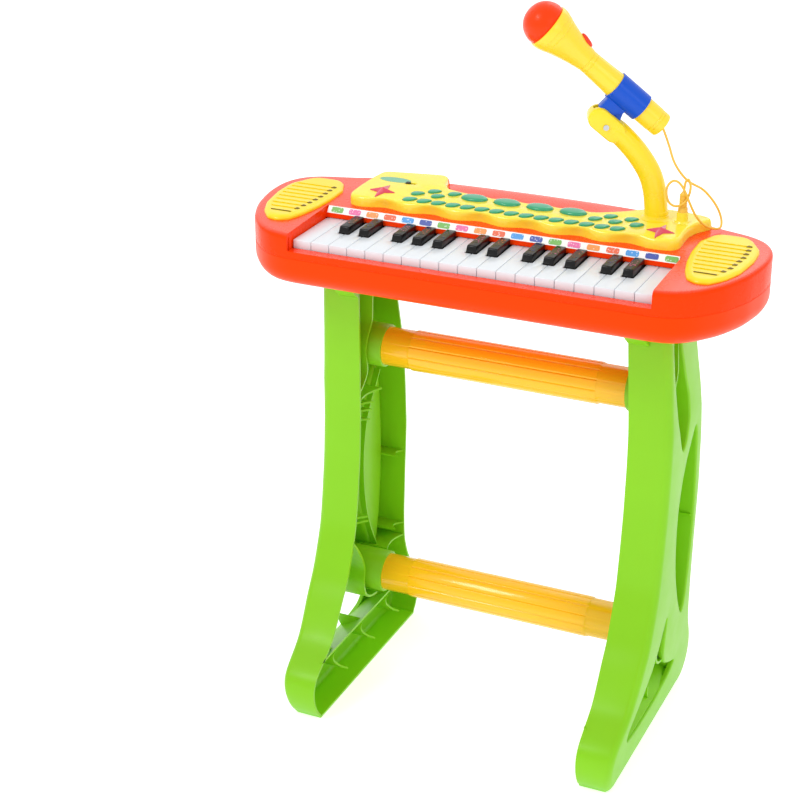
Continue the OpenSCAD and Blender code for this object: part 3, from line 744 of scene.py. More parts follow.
def lower_case():
    r, wall = 17, 2.5
    outer = [(0.35, SEAM), (0.35, SEAM - 0.3), (0, SEAM - 0.6)]
    outer += [(r - r * cos(a), BOTTOM + r - r * sin(a)) for a in quarter(9)]
    inner = [(r + 0.5, BOTTOM + wall), (7, BOTTOM + wall + 1.5), (wall, BOTTOM + r),
             (wall, SEAM)]
    case = shell("lower_case_skin", outer, inner, case_outline(), MAT["lower"])
    boolean(case, block("door", (-60.4, -30.4, BOTTOM - 1), (60.4, 15.4, BOTTOM + 6)))
    piece(case, ROOT, "lower_case")


upper_case()
lower_case()
bevel(finish_node("battery_door", MAT["lower"]), 0.5, 2)


# --- grilles
GRILLE = [
    (180, 9), (183, -15), (188, -37), (194, -52), (204, -58), (215, -56), (226, -42),
    (234, -22), (238, 8), (237, 30), (232, 45), (221, 56), (205, 60), (191, 56),
    (183, 47), (180, 36)]
LOUVRES = [-37 + 9.4 * i for i in range(9)]
GRILLE_BASE, GRILLE_RISE, GROOVE = 0.8, 3.4, 1.9
GRILLE_SHIFT = (1.6, 3.5)


def grille_span(plan, y):
    """Left and right edge of the grille outline at a given y."""
    xs = []
    for a, b in zip(plan, plan[1:] + plan[:1]):
        if (a.y - y) * (b.y - y) <= 0 and abs(a.y - b.y) > 1e-9:
            xs.append(a.x + (b.x - a.x) * (y - a.y) / (b.y - a.y))
    return min(xs), max(xs)


def grille(s):
    """Domed cover with stepped louvres, built as cross-sections along y."""
    plan = soften([(s * x + GRILLE_SHIFT[0], y + GRILLE_SHIFT[1]) for x, y in GRILLE], 240, 5)
    y0, y1 = min(p.y for p in plan), max(p.y for p in plan)
    ease = [10 * (1 - cos(a)) for a in quarter(12)[1:-1]]
    rows = [(y0 + e, 0.0) for e in ease] + [(y1 - e, 0.0) for e in ease]
    for y in LOUVRES:
        rows += [(y - 4.0, 0.12), (y - 0.55, 0.35), (y - 0.45, 1.0), (y + 0.35, 1.0),
                 (y + 0.5, 0.0)]
    rows = sorted(r for r in rows if y0 + 0.05 < r[0] < y1 - 0.05)
    loops, n = [], 60
    for y, cut in rows:
        lo, hi = grille_span(plan, y)
        end = min(1.0, min(y - y0, y1 - y) / 9.0)
        rise = GRILLE_RISE * max(1 - (1 - end) ** 2.6, 0.0) ** 0.5
        ring = []
        for k in range(n + 1):
            u = -cos(pi * k / n)
            edge = min(1.0, (1 - abs(u)) * (hi - lo) / 2 / 8.0)
            h = rise * max(1 - (1 - edge) ** 2.6, 0.0) ** 0.5
            inside = (1 - abs(u)) * (hi - lo) / 2 > 7.0
            if inside and end > 0.9:
                h -= GROOVE * cut
            ring.append(on_deck(lo + (hi - lo) * (u + 1) / 2, y, GRILLE_BASE + h))
        loops.append(ring + [on_deck(hi, y, -0.5), on_deck(lo, y, -0.5)])
    parts = [smooth(loft("grille", loops, MAT["grille"]), 24)]
    top_h = GRILLE_BASE + GRILLE_RISE + 0.12
    low_h = top_h - GROOVE
    # Dark pieces of the louvre_shadow material: wedges at the louvres' right ends and a strip in the
    # front groove, painted shade where these fall in shadow.
    for y in LOUVRES[1:]:
        lo, hi = grille_span(plan, y)
        end = hi - 7.4
        parts.append(prism("louvre_end_shade", [(end - 4.2, y - 1.5), (end + 1.0, y - 0.3),
                                     (end + 0.2, y + 1.2), (end - 3.0, y + 2.2)], on_deck,
                           low_h, top_h, MAT["louvre"]))
    lo, hi = grille_span(plan, LOUVRES[0])
    parts.append(prism("groove_shade_strip", [(lo + 7.6, LOUVRES[0] - 0.2), (hi - 9, LOUVRES[0] - 0.2),
                                (hi - 9, LOUVRES[0] + 0.5), (lo + 7.6, LOUVRES[0] + 0.5)],
                       on_deck, low_h, top_h - 0.1, MAT["louvre"]))
    return parts


def grilles():
    obj = join(grille(1) + grille(-1), "grille_domes")
    piece(obj, ROOT, "speaker_grilles")


grilles()
finish_node("speaker_drivers", MAT["speaker"])


# --- panel
PAD_AT = (-42.2, 46)
PAD_PITCH = 33.2
PAD_SIZE = (13, 8)
ROW_START, ROW_PITCH, ROW_COUNT, ROW_Y = -98.3, 14.83, 15, 21
LEAF = (7, 4.4)
LEAF_TURN = radians(30)
SMALL = (6.5, 4.2)
LEFT_AT = [(-97.8, 38.3), (-84.8, 49.4), (-76.8, 38.1), (-64, 49.6)]
RIGHT_AT = [(82, 37.9), (93.4, 48.8), (101.8, 37), (113.8, 48.4), (122.6, 36.6)]
SCALLOP, SCALLOP_DEPTH, PANEL_FRONT, PANEL_BACK = 48.5, 6.5, 9, 55.5
PANEL_LEFT = [(-157, 12), (-161, 20), (-161, 40), (-160, 60), (-158, 80), (-155, 88)]
PANEL_REAR = [(-97, 99), (-90, 97), (-84, 76), (-76, 62), (-60, 58)]
PANEL_RIGHT = [
    (80, 58), (98, 68), (118, 84), (134, 90), (152, 89), (171, 86), (180, 83),
    (182.5, 77.5), (176, 69), (170.5, 60), (168, 48), (168, 36), (169, 24), (168, 16), (163, 11)]
PLUG_AT = (158.2, 59.7)
SWITCH_AT = (-116, 62)
DECAL_AT, DECAL_SIZE = (-134, 66), (16.5, 6.5)
HOLE_GAP = 0.4


def panel_outline(start=PANEL_FRONT, wave=SCALLOP_DEPTH):
    """Panel edge; its front runs in shallow arches from start to start + wave."""
    front = [(x, start + wave * (1 - cos(2 * pi * x / SCALLOP)) / 2)
             for x in range(150, -151, -6)]
    back = [(x, PANEL_BACK + 3 * cos(2 * pi * (x - PAD_AT[0]) / PAD_PITCH))
            for x in range(-48, 77, 6)]
    return soften(PANEL_LEFT + PANEL_REAR + back + PANEL_RIGHT + front, 520, 6)


def leaf(at, size, grow=0.0, n=28):
    out = []
    for a in turn(n):
        x = (size[0] + grow) * cos(a)
        y = (size[1] + grow) * sin(a) * (1 - 0.35 * cos(a))
        out.append(Vector((at[0] + x * cos(LEAF_TURN) - y * sin(LEAF_TURN),
                           at[1] + x * sin(LEAF_TURN) + y * cos(LEAF_TURN))))
    return out


def oval(at, size, grow=0.0, n=40):
    return [Vector((at[0] + (size[0] + grow) * cos(a), at[1] + (size[1] + grow) * sin(a)))
            for a in turn(n)]


def rectangle(at, half_x, half_y):
    return [(at[0] + sx * half_x, at[1] + sy * half_y)
            for sx, sy in ((-1, -1), (1, -1), (1, 1), (-1, 1))]


ROW_AT = [(ROW_START + i * ROW_PITCH, ROW_Y) for i in range(ROW_COUNT)]
PADS = [(PAD_AT[0] + i * PAD_PITCH, PAD_AT[1]) for i in range(4)]


def punched(bm, outer, holes):
    """Flat face between an outer ring of verts and rings of hole verts."""
    edges = []
    for ring in [outer] + holes:
        for p, q in zip(ring, ring[1:] + ring[:1]):
            edges.append(bm.edges.get((p, q)) or bm.edges.new((p, q)))
    bmesh.ops.triangle_fill(bm, use_beauty=True, use_dissolve=False, edges=edges)


def panel():
    plan = panel_outline()
    bm = bmesh.new()

    def ring_at(ring, h):
        return [bm.verts.new(on_deck(p.x, p.y, h) * MM) for p in ring]

    steps = 9
    chain = inset_chain(panel_outline(10.4, 0.8), [3.2 * k / steps for k in range(steps + 1)])
    outer = [ring_at(plan, 0.0)]
    for a in quarter(steps):
        t = 1 - cos(a)
        ring = []
        for p, q in zip(plan, chain[round(steps * t)]):
            near_pads = min(max((p.y - 42) / 6, 0), 1) * min(max((84 - abs(p.x)) / 10, 0), 1)
            ring.append(p.lerp(q, t ** 0.8 * (1 - 0.65 * near_pads)))
        outer.append(ring_at(ring, 1.0 + (PANEL_H - 1.0) * sin(a)))
    floor_h = 6.5
    low_ring = inset(plan, 1.2)
    inner = [ring_at(low_ring, 0.0), ring_at(low_ring, 0.4), ring_at(ring, floor_h)]
    for rings in (outer, [outer[0]] + inner):
        for a, b in zip(rings, rings[1:]):
            bridge(bm, a, b)
    shapes = [leaf(p, LEAF, HOLE_GAP) for p in ROW_AT]
    shapes += [leaf(p, SMALL, HOLE_GAP) for p in LEFT_AT + RIGHT_AT]
    shapes += [oval(p, PAD_SIZE, HOLE_GAP) for p in PADS]
    shapes.append([Vector(p) for p in rectangle(SWITCH_AT, 5.5, 2.2)])
    tops, lows = [], []
    for shape in shapes:
        hole = [ring_at(inset(shape, -0.35), PANEL_H),
                ring_at(inset(shape, -0.1), PANEL_H - 0.12),
                ring_at(shape, PANEL_H - 0.4), ring_at(shape, floor_h)]
        for a, b in zip(hole, hole[1:]):
            bridge(bm, a, b)
        tops.append(hole[0])
        lows.append(hole[-1])
    punched(bm, outer[-1], tops)
    punched(bm, inner[-1], lows)
    bmesh.ops.recalc_face_normals(bm, faces=bm.faces)
    cover = smooth(from_bmesh(bm, "panel_skin", MAT["panel"]), 28)
    foot = deck_z(ARM_BASE[1]) + PANEL_H
    boss = lathe("boss", [(9, -2), (9, 0), (7.2, 0.6), (6.4, 2.0), (5.4, 2.2), (5.3, 9.4),
                          (4.9, 9.9), (4.62, 10), (4.62, -2)],
                 Matrix.Translation((*PLUG_AT, foot - 0.2)), MAT["panel"], 48, tube=True)
    obj = join([cover, smooth(boss)], "panel_top")
    piece(obj, ROOT, "control_panel")


def dome(name, plan, top, material, base=6.6):
    """Raised button: straight side, rolled edge, soft crown."""
    centre = sum(plan, Vector((0, 0))) / len(plan)
    profile = [(1.0, base), (1.0, PANEL_H - 0.2), (0.97, PANEL_H + top * 0.45),
               (0.88, PANEL_H + top * 0.74), (0.7, PANEL_H + top * 0.9),
               (0.45, PANEL_H + top * 0.98), (0.15, PANEL_H + top)]
    loops = [[on_deck(*(centre + (p - centre) * k), h) for p in plan] for k, h in profile]
    return smooth(loft(name, loops, material), 50)


def buttons():
    sets = [("front_row", "front_row_buttons", ROW_AT, LEAF),
            ("left_group", "left_buttons", LEFT_AT, SMALL),
            ("right_group", "right_buttons", RIGHT_AT, SMALL)]
    for body, cad, places, size in sets:
        parts = [dome("b", leaf(p, size), 1.7, MAT["button"]) for p in places]
        obj = join(parts, cad + "_caps")
        piece(obj, body)
        finish_node(cad, MAT["button"])
    for i, p in enumerate(PADS):
        obj = dome("drum_pad_cap_%d" % (i + 1), oval(p, PAD_SIZE), 2.7, MAT["button"])
        piece(obj, "pad_%d" % (i + 1), "drum_pad_%d" % (i + 1))


STAR_AT = [(-132, 31), (147.4, 29)]


def stars():
    parts = []
    for cx, cy in STAR_AT:
        tips = []
        for k in range(8):
            a = radians(90 - k * 45)
            r = (5.2 if k % 2 else (18 if k % 4 == 0 else 13.5))
            tips.append(Vector((cx + r * cos(a), cy + r * sin(a))))
        loops = [[on_deck(p.x, p.y, h) for p in tips] for h in (PANEL_H - 0.5, PANEL_H + 0.7)]
        verts = [p for loop in loops for p in loop] + [on_deck(cx, cy, PANEL_H + 4.6)]
        faces = [tuple(range(7, -1, -1))]
        for k in range(8):
            j = (k + 1) % 8
            faces.append((k, j, 8 + j, 8 + k))
            faces.append((8 + k, 8 + j, 16))
        star = make("star", verts, faces, MAT["star"])
        bake(bevel(star, 0.35, 2, 12), 14)
        parts.append(star)
    obj = join(parts, "star_gems")
    piece(obj, ROOT, "star_lights")


def decal():
    obj = smooth(prism("panel_decal", oval(DECAL_AT, DECAL_SIZE, n=48), on_deck,
                       PANEL_H - 0.2, PANEL_H + 0.12, MAT["hatch"]))
    piece(obj, ROOT)
    well = prism("switch_well", rectangle(SWITCH_AT, 5.4, 2.1), on_deck, 6.2, 7.3,
                 MAT["rubber"])
    piece(well, ROOT)


panel()
buttons()
stars()
decal()
finish_node("circuit_board", MAT["board"])
finish_node("key_rod", MAT["steel"])
finish_node("screws", MAT["steel"])
bevel(finish_node("slide_switch", MAT["rubber"]), 0.3, 2)


# --- label strip
def face_place(x, y, h):
    """Point on the sloping face behind the keys: y runs up the face."""
    z1 = deck_z(BED_BACK + STRIP_BACK)
    t = (y - STRIP_FOOT) / (z1 - STRIP_FOOT)
    return Vector((x, BED_BACK + STRIP_BACK * t - h * 0.78, y + h * 0.62))


def rounded(cx, cy, w, h, r, n=5):
    out = []
    for k, (sx, sy) in enumerate(((1, 1), (-1, 1), (-1, -1), (1, -1))):
        for j in range(n + 1):
            a = pi / 2 * (k + j / n)
            out.append(Vector((cx + sx * (w / 2 - r) + r * cos(a),
                               cy + sy * (h / 2 - r) + r * sin(a))))
    return out


PATCH_SHIFT, PATCH_W, PATCH_H = 1.6, 12.4, 4.2


def label_strip():
    z0, z1 = STRIP_FOOT + 0.1, deck_z(BED_BACK + STRIP_BACK) - 0.2
    parts = [prism("strip", rounded(0, (z0 + z1) / 2, 2 * KEYBED_X - 3, z1 - z0, 0.4),
                   face_place, 0.0, 0.35, MAT["strip"])]
    inks = [sticker_material("ink_%d" % k, c, mix(c, (1, 1, 1, 1), 0.55))
            for k, c in enumerate(PATCH_COLORS)]
    for i in range(WHITE_COUNT):
        x = (i - (WHITE_COUNT - 1) / 2) * WHITE_PITCH + PATCH_SHIFT
        parts.append(prism("patch", rounded(x, (z0 + z1) / 2, PATCH_W, PATCH_H, 1.5),
                           face_place, 0.2, 0.5, inks[i % len(inks)]))
    obj = join(parts, "label_strip")
    piece(obj, ROOT)


label_strip()


# --- legs
BOSS_END, LEG_OUT = low("leg_right", 0), high("leg_right", 0)
LEG_IN = BOSS_END + 11
LEG_SIDE = [
    (-108, 0), (-114, 8), (-121, 22), (-123, 38), (-118, 50), (-107, 57), (-81, 73),
    (-68, 90), (-55, 110), (-43, 125), (-33, 148), (-22.5, 175), (-16, 215), (-11.5, 250),
    (-8.8, 300), (-9.6, 345), (-12.5, 387), (-15, 415), (-16, 430), (-16.5, 456),
    (62, 456), (70, 420), (79, 389), (90, 356), (100, 304), (104, 243), (100, 182),
    (98, 140), (99, 107), (108, 83), (124, 60), (134, 38), (134, 16), (124, 0)]
WINDOW = [
    (-78, 40), (-80, 50), (-64, 60), (-41, 73), (-19, 89), (-6, 104), (6, 122), (16, 133),
    (13, 112), (15, 90), (26, 72), (48, 60), (70, 52), (53, 42), (6, 36), (-45, 36)]
LENS = [
    (30, 220), (32, 245), (38, 267), (48, 287), (62, 303), (74, 318), (79, 308), (82, 285),
    (85, 250), (86, 215), (84, 185), (80, 150), (74, 120), (68, 108), (62, 112), (48, 137),
    (37, 165), (32, 190)]
POCKET = [
    (33, 302), (24, 318), (14, 340), (6, 368), (0, 395), (-4, 425), (-4, 448), (17, 448),
    (20, 417), (35, 379), (46, 358), (50, 335), (44, 310)]
POCKET_FLOOR = 160.0
CUP_Y = 33.0
UPPER_BAR = (low("crossbar_upper", 2) + high("crossbar_upper", 2)) / 2
LOWER_BAR = (low("crossbar_lower", 2) + high("crossbar_lower", 2)) / 2
BAR_R = (high("crossbar_upper", 2) - low("crossbar_upper", 2)) / 2


def leg_outline():
    pts = soften(LEG_SIDE, 420, 10)
    return [Vector((p.x, p.y if p.y > 3 else 0.0)) for p in pts]


def rim_rings(pts, r, steps=7):
    """Rounded outer edge of the leg: rings stepping inwards, with their X."""
    rings = inset_chain(pts, [r * (1 - cos(a)) for a in quarter(steps)])
    return [(LEG_OUT - r + r * sin(a), ring) for a, ring in zip(quarter(steps), rings)]


def pocket_outline(pts, count=110):
    ring = soften(pts, count, 3)
    return ring if area(ring) > 0 else list(reversed(ring))


def web(pts, x0, x1, thick=2.2, dip=0.0, steps=10):
    """Thin wall along a line in the side view; its open edge sinks by dip in the middle."""
    pts = relax(resample(pts, steps * 3, closed=False), 2, closed=False)
    loops = []
    for k, p in enumerate(pts):
        t = (pts[min(k + 1, len(pts) - 1)] - pts[max(k - 1, 0)]).normalized()
        n = Vector((-t.y, t.x)) * thick / 2
        x = x0 + dip * sin(pi * k / (len(pts) - 1))
        loops.append([(x, *(p + n)), (x, *(p - n)), (x1, *(p - n)), (x1, *(p + n))])
    return loft("web", loops, MAT["leg"])


def boss(z, back):
    """Socket that stands in from the leg's floor and takes a cross bar."""
    m = Matrix.Translation((0, CUP_Y, z)) @ Matrix.Rotation(radians(90), 4, "Y")
    prof = [(BAR_R + 1.3, back), (BAR_R + 1.2, BOSS_END + 0.9),
            (BAR_R + 0.8, BOSS_END + 0.2), (BAR_R + 0.3, BOSS_END), (BAR_R - 1.1, BOSS_END),
            (BAR_R - 1.1, LEG_IN + 14), (0.3, LEG_IN + 14), (0.3, back)]
    return lathe("boss", prof, m, MAT["leg"], 64)


FLOOR_X = LEG_OUT - 2.6
S_WALL = [(17, 458), (17, 412), (18, 392), (17.5, 387), (12, 382.5), (6, 375), (3.6, 366),
          (3.5, 357), (7, 349), (10.6, 342.7), (9.8, 337.5), (5.2, 331), (-2.2, 325),
          (-6.8, 323)]
LOW_WALL = [(-26, 160), (-23, 156.5), (-18, 151), (-11.6, 141.7), (-6, 134), (-2.8, 126.8),
            (-0.6, 118), (-3, 106.6), (-1.8, 96), (2.7, 85.2), (14, 79), (28, 76.5)]
POCKET_BACK = POCKET_FLOOR - 2.2
FOOT_TAPER, FOOT_TAPER_Z = 0.26, 120.0
LEG_SPREAD, SPREAD_TOP, SPREAD_FADE, TOP_TUCK = 0.06, 330, 120, 2.5
FOOT_TOP, FOOT_TOP_OUT = 60.5, 35
RIBS = [
    ((83, 211), (101, 211), FLOOR_X, 6), ((77, 127), (96, 127), FLOOR_X, 6),
    ((56, 114), (97, 112), FLOOR_X, 4), ((-6.5, 306), (44, 306), POCKET_BACK, 7),
    ((-6.5, 299), (24, 299), POCKET_BACK, 9), ((-7, 292), (20, 292), POCKET_BACK, 9),
    ((-7, 283), (16, 283), POCKET_BACK, 9), ((-19, 176), (8, 176), POCKET_BACK, 9),
    ((-21, 170), (10, 170), POCKET_BACK, 9)]
FOOT_RIBS = [-68, -2, 60]
LENS_WALL = [(72, 314), (60, 298), (47, 283), (38, 265), (33, 243), (31, 220), (33, 190),
             (38, 165), (49, 138), (62, 114)]
GUSSET = [(-14, 424), (-22, 430), (-30, 437), (-39, 445), (-45, 450), (-46, 456), (-14, 456)]


def opening_rings(outline, count, floor):
    """Rings of a sunk pocket or window, from the rounded lip on the face inwards."""
    ring = pocket_outline(outline, count)
    lip, fillet, draft = 2.2, 3.0, 0.3
    rings = [(LEG_OUT - lip * (1 - cos(a)), -lip * (1 - sin(a))) for a in quarter(4)]
    if floor > 0:
        rings += [(floor + fillet * (1 - sin(a)), draft + fillet * (1 - cos(a)))
                  for a in quarter(4)]
    else:
        rings.append((LEG_OUT - 5.5, 0.1))
    return [(x, inset(ring, d)) for x, d in rings]


def leg_skin():
    """Open moulding: the side wall, rolled rim, outer face and its sunk pockets."""
    bm = bmesh.new()

    def lay(x, ring):
        return [bm.verts.new(Vector((x, p.x, p.y)) * MM) for p in ring]

    def edges(ring):
        return [bm.edges.get((ring[i], ring[(i + 1) % len(ring)])) for i in range(len(ring))]
    side = leg_outline()
    rows = [(LEG_IN, side), (LEG_IN + 8, side), (LEG_IN + 16, side)] + rim_rings(side, 7.5)
    rings = [lay(x, r) for x, r in rows]
    for low_ring, high_ring in zip(rings, rings[1:]):
        bridge(bm, low_ring, high_ring)
    border = edges(rings[-1])
    for outline, count, floor in ((LENS, 110, POCKET_FLOOR), (POCKET, 110, POCKET_FLOOR),
                                  (WINDOW, 130, 0)):
        sunk = [lay(x, r) for x, r in opening_rings(outline, count, floor)]
        for high_ring, low_ring in zip(sunk, sunk[1:]):
            bridge(bm, high_ring, low_ring)
        border += edges(sunk[0])
        if floor > 0:
            bmesh.ops.triangle_fill(bm, use_beauty=True, edges=edges(sunk[-1]))
    bmesh.ops.triangle_fill(bm, use_beauty=True, edges=border, normal=(1, 0, 0))
    bmesh.ops.recalc_face_normals(bm, faces=bm.faces[:])
    obj = from_bmesh(bm, "leg", MAT["leg"])
    if max(obj.data.polygons, key=lambda f: f.center.x).normal.x < 0:
        obj.data.flip_normals()
    wall = obj.modifiers.new("wall", "SOLIDIFY")
    wall.thickness, wall.offset = 2.4 * MM, -1
    return bake(obj)


def leg_mesh():
    """Right leg: skin, sockets and ribs, then splayed and drawn in towards the foot."""
    parts = [smooth(leg_skin(), 30)]
    inner = [web(S_WALL, LEG_IN, FLOOR_X, 2.4), web(LOW_WALL, LEG_IN, FLOOR_X, 2.4)]
    inner += [web([a, b], LEG_IN + 0.8, x1, 2.0, dip) for a, b, x1, dip in RIBS]
    inner += [web([(y, 59), (y + 2, 50), (y + 9, 38), (y + 19, 27), (y + 26, 22)],
                  LEG_IN + 0.8, FLOOR_X - 4, 2.0, 8) for y in FOOT_RIBS]
    inner.append(web(LENS_WALL, POCKET_BACK - 5, POCKET_BACK + 2, 1.8))
    drop = (FOOT_TOP - FOOT_TOP_OUT) / (LEG_OUT - LEG_IN) * (FLOOR_X - LEG_IN)
    inner.append(loft("foot_top", [[(x, y, z) for x, z in (
        (LEG_IN, FOOT_TOP), (LEG_IN, FOOT_TOP + 2.5), (FLOOR_X, FOOT_TOP + 2.5 - drop),
        (FLOOR_X, FOOT_TOP - drop))] for y in (-101, 106)], MAT["leg"]))
    inner.append(x_prism("gusset", soften(GUSSET, 60, 2), LEG_IN, LEG_IN + 20, MAT["leg"]))
    leg = join(parts + [boss(UPPER_BAR, POCKET_BACK), boss(LOWER_BAR, FLOOR_X)]
               + [smooth(o, 32) for o in inner], "leg_moulding_right")
    for v in leg.data.vertices:
        x, z = v.co.x / MM - LEG_IN, v.co.z / MM
        low_down = min(max(1 - z / FOOT_TAPER_Z, 0), 1)
        high_up = min(max((z - SPREAD_TOP) / SPREAD_FADE, 0), 1)
        v.co.x += ((1 - high_up) * (1.0 + LEG_SPREAD * x) - TOP_TUCK * high_up
                   - x * FOOT_TAPER * low_down ** 1.4) * MM
    return leg


def legs():
    right = leg_mesh()
    mesh = right.data.copy()
    mesh.transform(Matrix.Scale(-1, 4, (1, 0, 0)))
    mesh.flip_normals()
    left = link("leg_moulding_left", mesh, None)
    for obj, cad in ((right, "leg_right"), (left, "leg_left")):
        piece(obj, ROOT, cad)


legs()


# --- cross bars
FLUTES = 12


def crossbar(name, cad, z):
    """Amber tube: plain ends, raised fluted middle."""
    end = high(cad, 0)
    loops = []

    def radius(a, k):
        groove = max(1 - abs(sin(a * FLUTES / 2)) / 0.28, 0.0)
        return BAR_R - 1.1 + k * (1.1 - groove)
    half = [(end, 0.0), (98.4, 0.0), (97.6, 0.5), (96, 1.0)]
    for x, k in [(-x, k) for x, k in half] + half[::-1]:
        loops.append([(x, CUP_Y + radius(a, k) * cos(a), z + radius(a, k) * sin(a))
                      for a in turn(288)])
    obj = smooth(loft(name, loops, MAT["bar"]), 40)
    piece(obj, ROOT, cad)


crossbar("upper_bar", "crossbar_upper", UPPER_BAR)
crossbar("lower_bar", "crossbar_lower", LOWER_BAR)


# --- boom arm
ARM_LINE = [
    (0, 519), (0.6, 530), (3.4, 549), (9.4, 566), (21.3, 584), (34.8, 599), (44, 606.5),
    (51.3, 609.9)]
FORK = (51.3, 609.9)


def arm_plate(name, outline, half, material=None):
    """Flat piece in the boom's own plane."""
    return loft(name, [[ARM @ Vector((a, y, b)) for a, b in outline] for y in (-half, half)],
                material)


def boom_arm():
    """Tapering tube on a collar, ending in a slotted fork for the clip's tongue."""
    path = [ARM @ Vector((p.x, 0, p.y)) for p in spline(ARM_LINE, 6)]
    radii = [10.9 - 0.5 * i / len(path) for i in range(len(path))]
    tube = sweep("tube", path[:-4], radii[:-4], MAT["arm"], 40)
    foot = deck_z(ARM_BASE[1]) + PANEL_H
    base = Matrix.Translation((*ARM_BASE, foot))
    collar = lathe("collar", [(14.5, -1), (14.5, 0), (13, 0.5), (11.6, 1.8), (11.2, 3.4),
                              (10.4, 3.8), (10.4, 4.4), (11.0, 4.8), (11.0, 7.4),
                              (10.3, 7.9), (2, 7.9), (2, -1)], base, MAT["arm"], 64,
                   tube=True)
    near, far = Vector((43, 605.0)), Vector((57.4, 617.0))
    along = (far - near).normalized()
    side = Vector((-along.y, along.x))
    edge = [(-10.0, 2.8), (-9.6, 1.3), (-8.6, 0.4), (-7.0, 0.0)]
    rings = []
    for y, d in edge + [(-y, d) for y, d in edge[::-1]]:
        r = 10.3 - d
        ring = []
        for centre, start in ((far, -90), (near, 90)):
            for k in range(25):
                a = radians(start + 180 * k / 24)
                ring.append(centre + (along * cos(a) + side * sin(a)) * r)
        rings.append([ARM @ Vector((p.x, y, p.y)) for p in ring])
    ears = loft("ears", rings, MAT["arm"])
    boolean(ears, arm_plate("slot", [(33, 612), (41, 603), (48, 599), (62.5, 600),
                                     (62.5, 640), (30, 640)], 4.2))
    smooth(ears, 35)
    obj = join([smooth(tube, 50), smooth(collar), ears], "boom_arm_skin")
    piece(obj, ROOT, "boom_arm")


boom_arm()


# --- microphone
def mic_body():
    r = 12.0
    prof = [(3.0, 0), (9.6, 0), (10.9, 0.5), (11.6, 1.6), (11.7, 3.2), (11.7, 6.0),
            (11.35, 6.3), (11.35, 6.9), (11.75, 7.2), (11.75, 9.0), (11.5, 9.3),
            (11.5, 9.8), (r, 10.2), (r, 61), (11.6, 66), (10.8, 84), (10.7, 88),
            (10.35, 88.3), (10.35, 89.0), (10.75, 89.3), (10.75, 92), (10.45, 92.3),
            (10.45, 93), (10.9, 93.4), (11.6, 98), (13.1, 106), (15.2, 115), (17.4, 123),
            (18.6, 127), (18.6, 127.6), (19.3, 128.2), (20.4, 132.5), (20.4, 133.0),
            (20.9, 133.4), (21.3, 137), (21.3, 140.2), (20.9, 141), (19.4, 141),
            (19.4, 134), (15, 124), (8.6, 104), (8.6, 3), (3, 3)]
    body = smooth(lathe("mic_shell", prof, MIC_AXIS, MAT["mic"], 96, tube=True), 28)
    piece(body, MIC, "mic_body")


def mic_head():
    r = 20.4
    prof = [(2, 134), (19.2, 134), (19.2, 140.6), (19.7, 141.4)]
    prof += [(r * cos(a) ** 0.92, 142.4 + r * sin(a)) for a in quarter(15)[1:-1]]
    prof.append((0.5, 162.8))
    head = smooth(lathe("mic_dome", prof, MIC_AXIS, MAT["head"], 96), 40)
    piece(head, MIC, "mic_head")


def mic_switch():
    loops = []
    centre = Vector((-12.1, 0, 105.5))
    normal = Vector((-0.97, 0, -0.22)).normalized()
    along = Vector((-0.22, 0, 0.97)).normalized()
    for k, h in ((1.0, -3.5), (1.0, 1.2), (0.94, 2.3), (0.78, 3.1), (0.5, 3.5), (0.15, 3.6)):
        loops.append([MIC_AXIS @ (centre + normal * h + along * 7.6 * k * cos(a)
                                  + Vector((0, 1, 0)) * 4.4 * k * sin(a))
                      for a in turn(40)])
    obj = smooth(loft("mic_slider", loops, MAT["switch"]), 50)
    piece(obj, "microphone_switch", "mic_switch")


def mic_clip():
    """Open spring band on a shoe and tongue."""
    r0, r1, z0, z1 = 12.15, 13.3, 26, 59
    gap, gap_at = radians(16), radians(235)
    loops, n = [], 72
    for j in range(n + 1):
        a = gap_at + gap + (2 * pi - 2 * gap) * j / n
        loops.append([MIC_AXIS @ Vector((r * cos(a), r * sin(a), z)) for r, z in (
            (r0, z0), (r1 - 0.3, z0), (r1, z0 + 0.3), (r1, z1 - 0.3), (r1 - 0.3, z1), (r0, z1))])
    band = smooth(loft("band", loops, MAT["clip"]), 40)
    lug = [(FORK[0] - 11.4, FORK[1]), (36.0, 621), (32, 629), (44, 641), (56, 625),
           (FORK[0] + 8.5, FORK[1] + 3), (FORK[0] + 6.5, FORK[1] - 4.5),
           (FORK[0], FORK[1] - 8), (FORK[0] - 6.5, FORK[1] - 5.5)]
    tongue = arm_plate("web", soften(lug, 60, 1), 3.8, MAT["clip"])
    bake(bevel(tongue, 0.5, 2, 60), 35)
    shoe = arm_plate("shoe", [(36, 621.5), (31, 627), (44, 642), (58, 627), (54, 618.5)], 6.5,
                     MAT["clip"])
    bake(bevel(shoe, 0.8, 2, 30), 35)
    for plate in (tongue, shoe):
        boolean(plate, lathe("core", [(12.12, 20), (12.12, 66)], MIC_AXIS, None, 96))
    obj = join([band, tongue, shoe], "clip_skin")
    piece(obj, MIC, "mic_clip")


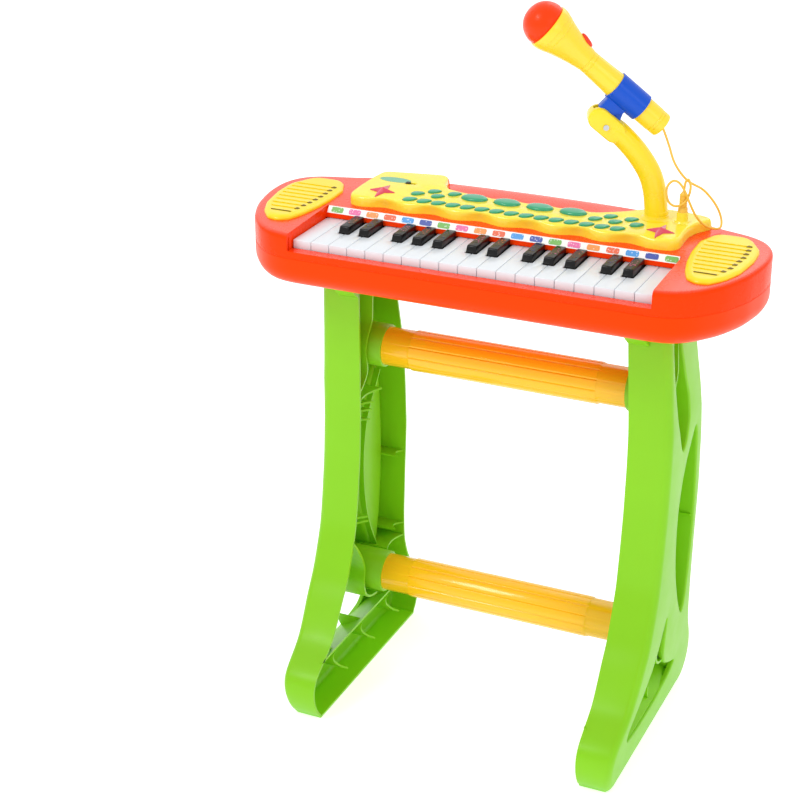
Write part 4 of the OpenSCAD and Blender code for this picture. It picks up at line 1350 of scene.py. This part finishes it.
def plug():
    """Jack, grip and ribbed strain relief."""
    foot = deck_z(PLUG_AT[1]) + PANEL_H
    m = Matrix.Translation((*PLUG_AT, foot))
    prof = [(1.7, -8), (1.7, 0.2), (4.4, 0.2), (4.5, 9.8), (4.5, 13.2), (4.2, 14.2), (3.3, 14.6)]
    z = 15.2
    for _ in range(6):
        prof += [(3.3, z), (3.75, z + 0.3), (3.75, z + 1.2), (3.3, z + 1.5)]
        z += 2.0
    prof += [(2.6, z + 0.4), (1.6, z + 2.0), (1.15, z + 2.2), (0.4, z + 2.2)]
    obj = smooth(lathe("plug_skin", prof, m, MAT["cord"], 48), 30)
    piece(obj, ROOT, "mic_plug")


mic_body()
mic_head()
mic_switch()
mic_clip()
plug()


# --- lighting
LAMPS = [  # name, place, aim, width, watts
    ("key", (-1.2, -1.8, 2.6), (0, 0, 0.4), 0.9, 26),
    ("fill", (2.2, -1.6, 1.8), (0, 0, 0.3), 1.6, 9),
    ("rear", (0.2, 1.8, 2.0), (0, 0, 0.5), 1.4, 6)]


def stage():
    size = 6000
    floor = make("floor", [(-size, -size, 0), (size, -size, 0), (size, size, 0),
                           (-size, size, 0)], [(0, 1, 2, 3)], MAT["floor"])
    world = bpy.data.worlds.new("studio")
    bpy.context.scene.world = world
    world.use_nodes = True
    tree = world.node_tree
    split = tree.nodes.new("ShaderNodeSeparateXYZ")
    wire(tree, tree.nodes.new("ShaderNodeTexCoord"), "Generated", split, "Vector")
    ramp(tree, split, "Y", [(0.0, (0.8, 0.8, 0.8, 1)), (0.25, (1, 1, 1, 1))],
         settle(tree.nodes["Background"], Strength=1.0), "Color")
    for name, place, aim, width, power in LAMPS:
        data = bpy.data.lights.new(name, "AREA")
        data.energy = power
        data.size = width
        lamp = bpy.data.objects.new(name, data)
        lamp.location = place
        lamp.rotation_euler = (Vector(aim) - Vector(place)).to_track_quat("-Z", "Y").to_euler()
        bpy.context.scene.collection.objects.link(lamp)
    bpy.context.scene.view_settings.view_transform = "Standard"


stage()
